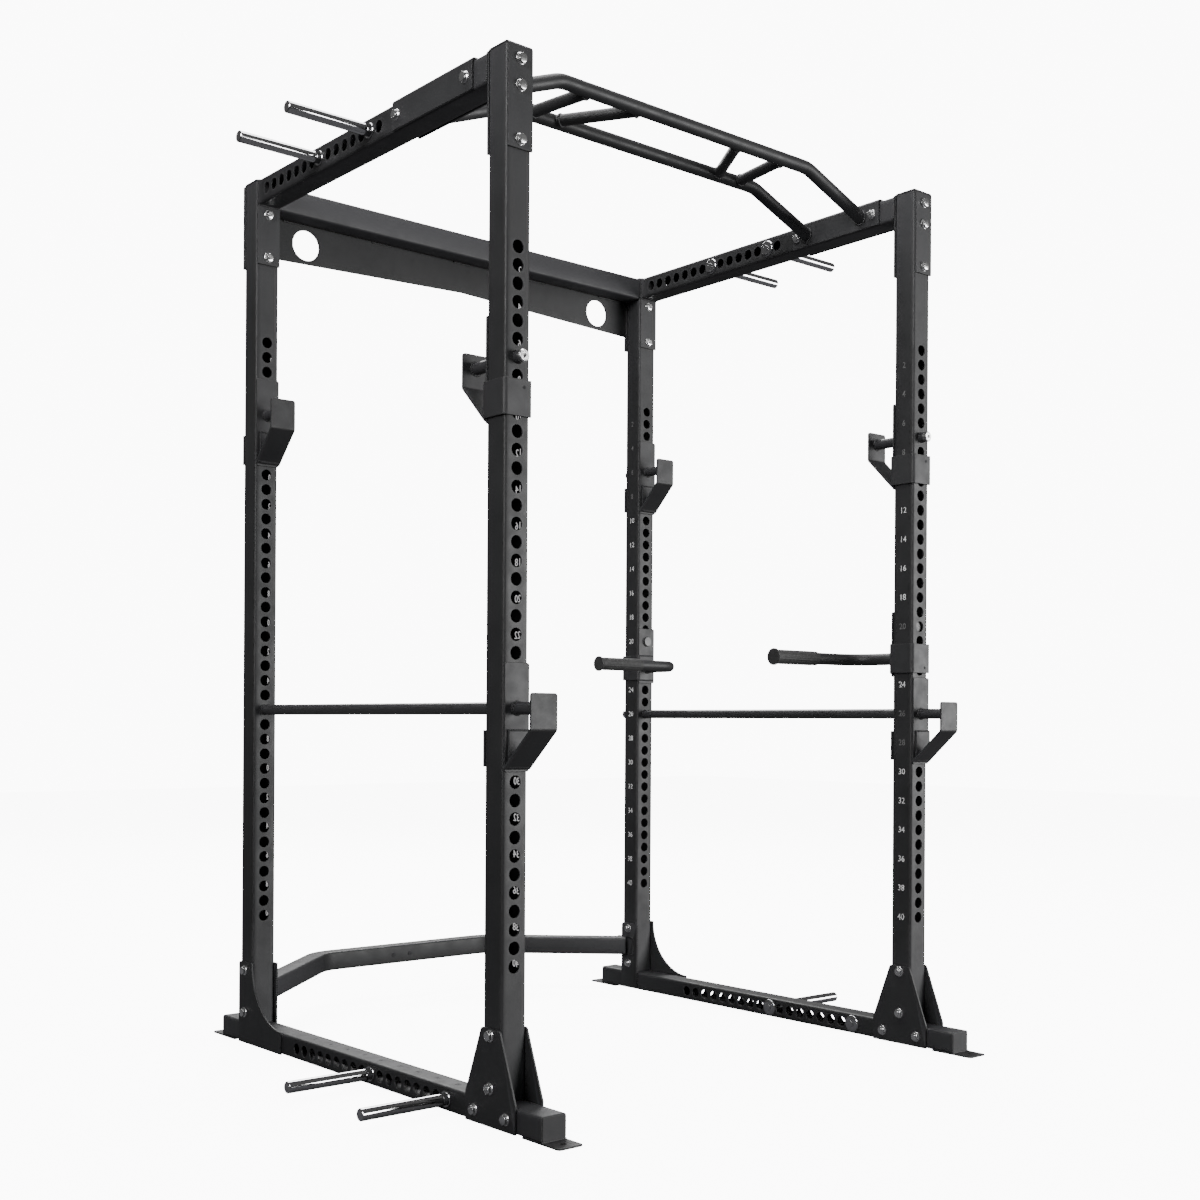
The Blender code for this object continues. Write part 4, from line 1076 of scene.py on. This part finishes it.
def make_bolt(node):
    """The bolt lies along its box's longest side; its head is on the outer or front side."""
    low, high = (np.array(corner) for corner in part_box(node))
    axis = int(np.argmax(high - low))
    centre = (low + high) / 2
    offset = np.zeros(3)
    offset[axis] = (high - low)[axis] / 2 - BOX_PAST_FACE
    outward = np.sign(centre[0]) if axis == 0 else -1.0
    if axis == 1 and centre[1] > 0:
        outward = 1.0
    near, far = centre + outward * offset, centre - outward * offset
    length = np.linalg.norm(near - far)
    out = (near - far) / length
    shank = spun([(0, 0), (0, SHANK_RADIUS), (length, SHANK_RADIUS), (length, 0)], near, -out, 16)
    patches = head_patches(near, out) + [shank] + nut_patches(far, -out)
    part(f"hex_{node}", patches, finish="zinc", angle=METAL_ANGLE, stands_for=(node,))


bolts = [node for node in frame["nodes"] if "_bolt_" in node]
for node in bolts:
    make_bolt(node)
TOP_BOLT_DROP = 0.032
TOP_BOLT_PAST = {"front": 0.0003, "rear": PLATE + 0.0006}
for side, sign in SIDES.items():
    for end, y in UPRIGHT_Y.items():
        out = -1 if end == "front" else 1
        reach = TUBE / 2 + PLATE + TOP_BOLT_PAST[end]
        face = np.array((sign * HALF_X, y + out * reach, HEIGHT - TOP_BOLT_DROP))
        patches = head_patches(face, (0.0, out, 0.0))
        part(f"top_bolt_{end}_{side}", patches, finish="zinc", angle=METAL_ANGLE)
print("bolts:", len(bolts) + 4)

# %% [markdown]
# ## Storage pegs
#
# A peg is a bright steel bar held by a collar outside the tube and a domed washer with a hexagon
# screw inside it. A turned profile gives each in one go.

# %% Pegs
PEG_RADIUS = 0.01275
PEG_LENGTH = 0.204
CHAMFER = 0.0024
COLLAR_RADIUS, COLLAR_HIGH = 0.017, 0.0040
DOME_RADIUS, DOME_FLAT, DOME_RIM, DOME_TOP = 0.0215, 0.0095, 0.0012, 0.0048
SCREW_TOP, SCREW_HALF_FLAT = 0.0072, 0.0075
PEG_ROD = [(-TUBE, 0), (-TUBE, PEG_RADIUS),
           *((d, PEG_RADIUS) for d in np.linspace(0.0, PEG_LENGTH - 0.002, 12)),
           (PEG_LENGTH - CHAMFER / 4, PEG_RADIUS - CHAMFER / 2), (PEG_LENGTH, PEG_RADIUS - CHAMFER),
           (PEG_LENGTH, 0)]
PEG_COLLAR = [(0, PEG_RADIUS), (0, COLLAR_RADIUS), (0.0028, COLLAR_RADIUS),
              (0.0038, COLLAR_RADIUS - 0.001), (COLLAR_HIGH, PEG_RADIUS)]
DOME_TURN = np.linspace(0, math.pi / 2, 9)
PEG_DOME = [(0, 0), (0, DOME_RADIUS),
            *zip(DOME_RIM + (DOME_TOP - DOME_RIM) * np.sin(DOME_TURN),
                 DOME_FLAT + (DOME_RADIUS - DOME_FLAT) * np.cos(DOME_TURN)),
            (DOME_TOP, 0)]


def make_peg(node):
    low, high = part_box(node)
    sign = 1 if low[0] + high[0] > 0 else -1
    y, z = (low[1] + high[1]) / 2, (low[2] + high[2]) / 2
    out = np.array((sign, 0.0, 0.0))
    outside = (sign * (HALF_X + TUBE / 2), y, z)
    inside = (sign * (HALF_X - TUBE / 2), y, z)
    screw = hexagon(inside, -out, DOME_TOP - 0.0002, SCREW_TOP, SCREW_HALF_FLAT)
    patches = [spun(PEG_ROD, outside, out, 40), spun(PEG_DOME, inside, -out, 40),
               spun(PEG_COLLAR, outside, out, 40), screw]
    part(f"bar_{node}", patches, finish="chrome", angle=METAL_ANGLE, stands_for=(node,))


for side in SIDES:
    for place in ("front", "rear"):
        make_peg(f"peg_top_{side}_{place}")
        make_peg(f"peg_base_{side}_{place}")
print("pegs: 8")

# %% [markdown]
# ## Hooks, safety bars and dip handles
#
# All of them hang the same way: a 25 mm pin goes into a hole of the upright, and when the piece is
# rolled upright a bent collar closes round the tube. They are worked out once in their own frame:
# the pin's centre on the face of the upright is the origin, the piece faces -Y, and its
# collar's side is at +X. A half turn or a mirror then puts each in place.

# %% Collar, back plate, lip and pin
BACK_ABOVE, BACK_BELOW = 0.089, 0.124
DIP_BACK_ABOVE = 0.038
BACK_MID = -0.0028
COLLAR_TOP, COLLAR_BOTTOM = -0.043, -0.115
COLLAR_SIDE = 0.0335
COLLAR_FAR = 0.0635
LIP_OFF = {"hook": 0.078, "safety": 0.086}
LIP_HALF = 0.032
LIP_TOP, LIP_BOTTOM = 0.029, -0.042
LIP_ROUND, LIP_ROWS = 0.006, 6
PIN_THROUGH, BAR_THROUGH = 0.023, 0.030
PIN_CHAMFER, TIP_LENGTH, TIP_PROUD = 0.002, 0.010, 0.00015
DIP_PIN_HEAD, DIP_PIN_SHORT = 0.012, 0.006
WELD_SUNK = 0.0004
# A thin near-black disc on the collar's far face: painted shade of a hole.
COLLAR_HOLE_SHADE = [(0, 0), (0, 0.0038), (0.0004, 0.0034), (0.0004, 0)]
COLLAR_HOLE_Z, DIP_COLLAR_HOLE_Z = -0.058, -0.102


def back_plate(above):
    """The plate against the upright: an outline with rounded corners."""
    half = TUBE / 2
    corners = [(-half, -BACK_BELOW), (half, -BACK_BELOW), (half, above), (-half, above)]
    return on_y(BACK_MID, outline_arc(corners, [0.005] * 4))


def collar_strip():
    """The collar: along the front of the back plate, round the side and across the far face."""
    z = (COLLAR_TOP + COLLAR_BOTTOM) / 2
    near = BACK_MID - 0.0040
    corners = [(-0.022, near, z), (COLLAR_SIDE, near, z), (COLLAR_SIDE, COLLAR_FAR, z),
               (-TUBE / 2, COLLAR_FAR, z)]
    return strip(rounded_path(corners, 0.0065), (0, 0, 1), (COLLAR_TOP - COLLAR_BOTTOM) / 2)


def lip_strip(off):
    """The lip and its sloping strap, one strip bent once. Its top corners are cut round."""
    y = -off - PLATE / 2
    corners = [(0, y, LIP_TOP), (0, y, LIP_BOTTOM), (0, BACK_MID - 0.001, -BACK_BELOW + 0.006)]
    turn = np.linspace(0, math.pi / 2, LIP_ROWS)
    fall = LIP_ROUND * (1 - np.cos(turn))
    top = np.column_stack([np.zeros(LIP_ROWS), np.full(LIP_ROWS, y), LIP_TOP - fall])
    path = np.vstack([top, rounded_path(corners, 0.007)[1:]])
    half = np.full(len(path), LIP_HALF)
    half[:LIP_ROWS] = LIP_HALF - LIP_ROUND + LIP_ROUND * np.sin(turn)
    columns = np.linspace(-1, 1, 9)
    points = path[:, None, :] + (columns[None, :] * half[:, None])[..., None] * np.array((1.0, 0, 0))
    return grid(points)


def pin_patches(start, stop):
    """A pin with a chamfered far end."""
    reach, narrow = stop - start, PIN_RADIUS - PIN_CHAMFER
    profile = [(0, 0), (0, PIN_RADIUS), (reach - PIN_CHAMFER, PIN_RADIUS), (reach, narrow), (reach, 0)]
    return [spun(profile, (0, start, 0), (0, 1, 0), 36)]


def bare_tip(stop):
    """The last stretch of a pin, a hair proud of the painted one, with a dimple in its end."""
    proud, wide = TIP_PROUD, PIN_RADIUS + TIP_PROUD
    profile = [(-TIP_LENGTH, PIN_RADIUS), (-TIP_LENGTH, wide), (-PIN_CHAMFER, wide),
               (proud, PIN_RADIUS - PIN_CHAMFER), (proud, 0.004), (-0.0012, 0.0028), (-0.0012, 0)]
    return [spun(profile, (0, stop, 0), (0, 1, 0), 36)]


# %% Placing a piece on its upright
def place_mesh(mesh, place, facing_y, mirrored):
    """A half turn for a piece that faces +Y, and a mirror image where the collar is opposite."""
    turn = Matrix.Rotation(math.pi, 4, "Z") if facing_y > 0 else Matrix.Identity(4)
    flip = Matrix.Diagonal((-1, 1, 1, 1)) if mirrored else Matrix.Identity(4)
    mesh.transform(Matrix.Translation(place) @ turn @ flip)
    if mirrored:
        mesh.flip_normals()


def hang(name, patches, where, body, outlines=(), finish="coat", **kind):
    """A piece of a body, worked out in the body's own frame and then put in its place."""
    mesh = mesh_from(name, patches, outlines)
    place_mesh(mesh, *where)
    return make_piece(mesh, finish, body, **kind)


def hook_pieces(body, where, off, above, pin_stop):
    """What all hung pieces share. off is how far out the lip stands; a dip handle has none."""
    plate = {"wall": PLATE, "bevel": FINE_EDGE}
    hang(f"{body}_back", [], where, body, [back_plate(above)], stands_for=(body,), **plate)
    hang(f"{body}_collar", [collar_strip()], where, body, **plate)
    seam_y = BACK_MID - 0.006
    seams = [bead([(-0.022, seam_y, z), (0.028, seam_y, z)], (0, 1, 0), size=0.0022)
             for z in (COLLAR_TOP, COLLAR_BOTTOM)]
    start = -DIP_PIN_HEAD
    if off:
        start = -off - PLATE / 2
        hang(f"{body}_lip", [lip_strip(off)], where, body, **plate)
        seams.append(ring_bead((0, -off + WELD_SUNK, 0), (0, 1, 0), PIN_RADIUS, size=0.0028))
        strap_foot = [(x, BACK_MID - 0.007, -0.113) for x in (-0.028, 0.028)]
        seams.append(bead(strap_foot, (0, 1, 0), size=0.0024))
    root = (0, BACK_MID - PLATE / 2 - WELD_SUNK, 0)
    seams.append(ring_bead(root, (0, 1, 0), PIN_RADIUS, size=0.0026))
    hang(f"{body}_pin", pin_patches(start, pin_stop), where, body, finish="coat_pin")
    # On a dip handle the tip gets the dark pin coat in place of bare zinc: painted shade, so that its end
    # inside the upright shows dark.
    hang(f"{body}_pin_tip", bare_tip(pin_stop), where, body, finish="zinc" if off else "coat_pin")
    hang(f"{body}_welds", seams, where, body)
    # The collar's hole is a thin disc painted near black: painted shade.
    hole_z = COLLAR_HOLE_Z if off else DIP_COLLAR_HOLE_Z
    hole = spun(COLLAR_HOLE_SHADE, (-0.012, COLLAR_FAR + PLATE / 2, hole_z), (0, 1, 0), 16)
    hang(f"{body}_hole", [hole], where, body, finish="hole_shade_and_numbers")


for joint in frame["joints"]:
    body = joint["child"]
    place = tuple(joint["pos_m"])
    if body.startswith("j_hook"):
        facing_y = 1 if "front" in body else -1
        hook_pieces(body, (place, facing_y, False), LIP_OFF["hook"], BACK_ABOVE, TUBE + PIN_THROUGH)
    elif body.startswith("safety"):
        reach = REAR_Y - FRONT_Y + TUBE + BAR_THROUGH
        hook_pieces(body, (place, -1, False), LIP_OFF["safety"], BACK_ABOVE, reach)
print("hooks: 4, safety bars: 2")

# %% [markdown]
# ## Dip handles
#
# The handle is a tube bent through a quarter circle, with a rubber grip pushed over its end. The
# grip's surface is a cylinder whose radius carries rings and a fine diamond knurl:
# r = r0 + rings(s) + k cos(n a + m s) cos(n a - m s).

# %% Handles and grips
DIP_DROP, DIP_OFF, DIP_REACH = 0.078, 0.146, 0.302
DIP_BEND_RADIUS = 0.070
DIP_TUBE_RADIUS = 0.015
GRIP_LENGTH = 0.150
GRIP_OUTER = 0.0184
FLANGE_OUTER, FLANGE_THICK = 0.0210, 0.006
KNURL_ROWS, KNURL_SIDES = 110, 72
KNURL_DEPTH, KNURL_STEP, KNURL_ROUND = 0.0008, 0.0105, 9
KNURL_START, KNURL_FADE = 0.016, 0.004


def grip_patch():
    """The rubber grip along -X from its flange; the knurl lies between two plain ends."""
    end = GRIP_LENGTH + FLANGE_THICK
    s = np.concatenate([[0, 0, 0.0012, 0.0045, FLANGE_THICK, 0.009],
                        np.linspace(0.010, GRIP_LENGTH + 0.004, KNURL_ROWS), [end, end]])
    base = np.full(len(s), GRIP_OUTER - 0.0009)
    base[:6] = [0.0, FLANGE_OUTER - 0.0014, FLANGE_OUTER, FLANGE_OUTER, FLANGE_OUTER - 0.0010,
                GRIP_OUTER - 0.0006]
    base[-2:] = [GRIP_OUTER - 0.0016, DIP_TUBE_RADIUS]
    angle = full_turn(KNURL_SIDES)
    rise = np.clip((s - KNURL_START) / KNURL_FADE, 0, 1)
    window = rise * np.clip((GRIP_LENGTH - FLANGE_THICK - s) / KNURL_FADE, 0, 1)
    wave = (2 * math.pi * s / KNURL_STEP)[:, None]
    around = KNURL_ROUND * angle[None]
    radius = base[:, None] + KNURL_DEPTH * window[:, None] * np.cos(around + wave) * np.cos(around - wave)
    x = DIP_REACH + FLANGE_THICK - s
    points = np.stack([np.broadcast_to(x[:, None], radius.shape), -DIP_OFF + radius * np.cos(angle),
                       -DIP_DROP + radius * np.sin(angle)], axis=2)
    return grid(points, wrap_columns=True)


def make_dip_handle(end):
    body = f"dip_handle_{end}"
    joint = next(joint for joint in frame["joints"] if joint["child"] == body)
    facing_y = 1 if end == "front" else -1
    where = (tuple(joint["pos_m"]), facing_y, end == "rear")
    hook_pieces(body, where, 0.0, DIP_BACK_ABOVE, TUBE - DIP_PIN_SHORT)
    corners = [(0, BACK_MID, -DIP_DROP), (0, -DIP_OFF, -DIP_DROP), (DIP_REACH, -DIP_OFF, -DIP_DROP)]
    tube = sweep(rounded_path(corners, DIP_BEND_RADIUS, 18), circle(DIP_TUBE_RADIUS, 32), (0, 0, 1))
    hang(f"{body}_tube", tube, where, body, angle=ROUND_ANGLE)
    seam = ring_bead((0, BACK_MID - 0.0075, -DIP_DROP), (0, 1, 0), DIP_TUBE_RADIUS, size=0.003)
    hang(f"{body}_tube_weld", [seam], where, body)
    grip = hang(f"grip_{end}", [grip_patch()], where, body, finish="rubber",
                stands_for=(f"dip_grip_{end}",))
    print(grip.name, "faces:", len(grip.data.polygons))


for end in UPRIGHT_Y:
    make_dip_handle(end)

# %% [markdown]
# ## Floor, light and camera
#
# Black satin paint shows almost nothing but what it reflects, so the light is made of large soft
# panels: a bright one at the front right, one overhead, one behind, and a dim one at the left.

# %% Studio
FLOOR_HALF, FLOOR_DROP = 14.0, 0.0006
FLOOR_GLOW = 9.5
FLOOR_GREY = (0.09, 0.09, 0.095, 1.0)
SKY_SEEN, SKY_FELT = 10.5, 0.12


def make_world():
    """A sky that is white to look at, but lights the scene only dimly."""
    world = bpy.data.worlds.new("studio")
    world.use_nodes = True
    tree = world.node_tree
    background = tree.nodes["Background"]
    background.inputs["Color"].default_value = WHITE
    seen = tree.nodes.new("ShaderNodeLightPath").outputs["Is Camera Ray"]
    strength = tree.nodes.new("ShaderNodeMapRange")
    strength.inputs["To Min"].default_value = SKY_FELT
    strength.inputs["To Max"].default_value = SKY_SEEN
    tree.links.new(seen, strength.inputs["Value"])
    tree.links.new(strength.outputs["Result"], background.inputs["Strength"])
    bpy.context.scene.world = world


def make_floor():
    """A floor that is white to look at, but gives the underside of things only a dim grey."""
    corners = [(x, y, -FLOOR_DROP) for x, y in ((-1, -1), (1, -1), (1, 1), (-1, 1))]
    mesh = bpy.data.meshes.new("floor")
    mesh.from_pydata((np.array(corners) * (FLOOR_HALF, FLOOR_HALF, 1)).tolist(), [], [(0, 1, 2, 3)])
    floor = linked("floor", mesh)
    material, tree, shader = blank_finish("studio_floor", 0.9)
    shade = ramp(tree, noise(tree, scale=2.0), [(0.3, 0.93), (0.7, 0.95)])
    tree.links.new(shade, shader.inputs["Base Color"])
    shader.inputs["Specular IOR Level"].default_value = 0.1
    shader.inputs["Emission Color"].default_value = WHITE
    shader.inputs["Emission Strength"].default_value = FLOOR_GLOW
    grey = tree.nodes.new("ShaderNodeBsdfDiffuse")
    grey.inputs["Color"].default_value = FLOOR_GREY
    seen = tree.nodes.new("ShaderNodeLightPath").outputs["Is Camera Ray"]
    mix = tree.nodes.new("ShaderNodeMixShader")
    tree.links.new(seen, mix.inputs["Fac"])
    tree.links.new(grey.outputs["BSDF"], mix.inputs[1])
    tree.links.new(shader.outputs["BSDF"], mix.inputs[2])
    tree.links.new(mix.outputs["Shader"], tree.nodes["Material Output"].inputs["Surface"])
    mesh.materials.append(material)


def soft_panel(name, place, target, width, height, power, spread):
    """A rectangular area light that looks at a point; a small spread works like a grid on it."""
    light = bpy.data.lights.new(name, "AREA")
    light.shape = "RECTANGLE"
    light.size = width
    light.size_y = height
    light.energy = power
    light.spread = math.radians(spread)
    lamp = linked(name, light)
    lamp.location = place
    axis_z = unit(np.subtract(place, target))
    axis_x = unit(np.cross((0, 0, 1), axis_z))
    axis_y = np.cross(axis_z, axis_x)
    lamp.rotation_euler = Matrix(np.stack([axis_x, axis_y, axis_z], axis=1).tolist()).to_euler()


make_floor()
make_world()
# name, place, target, width, height, watts and spread in degrees
for panel in (("front_panel", (4.2, -5.2, 1.15), (0, 0, 1.0), 4.4, 2.6, 560, 180),
              ("top_panel", (-0.4, 0.2, 5.0), (0, 0.01, 0.5), 3.0, 3.0, 220, 180),
              ("back_panel", (2.6, 4.8, 5.0), (0, 0, 1.1), 3.6, 3.0, 420, 180),
              ("side_panel", (-5.6, -2.4, 3.6), (0, 0, 1.9), 2.4, 3.0, 46, 55)):
    soft_panel(*panel)

# %% Camera
CAMERA_YAW, CAMERA_ROLL = 0.704, -0.006
CAMERA_PLACE = (-2.437, FRONT_Y - 2.416, 0.791)
camera_data = bpy.data.cameras.new("camera")
camera_data.sensor_width = 36.0
camera_data.lens = 46.04
camera_data.shift_y = 0.103
camera_data.dof.use_dof = False
camera = linked("camera", camera_data)
camera.location = CAMERA_PLACE
camera.rotation_euler = (math.pi / 2, CAMERA_ROLL, -CAMERA_YAW)
bpy.context.scene.camera = camera
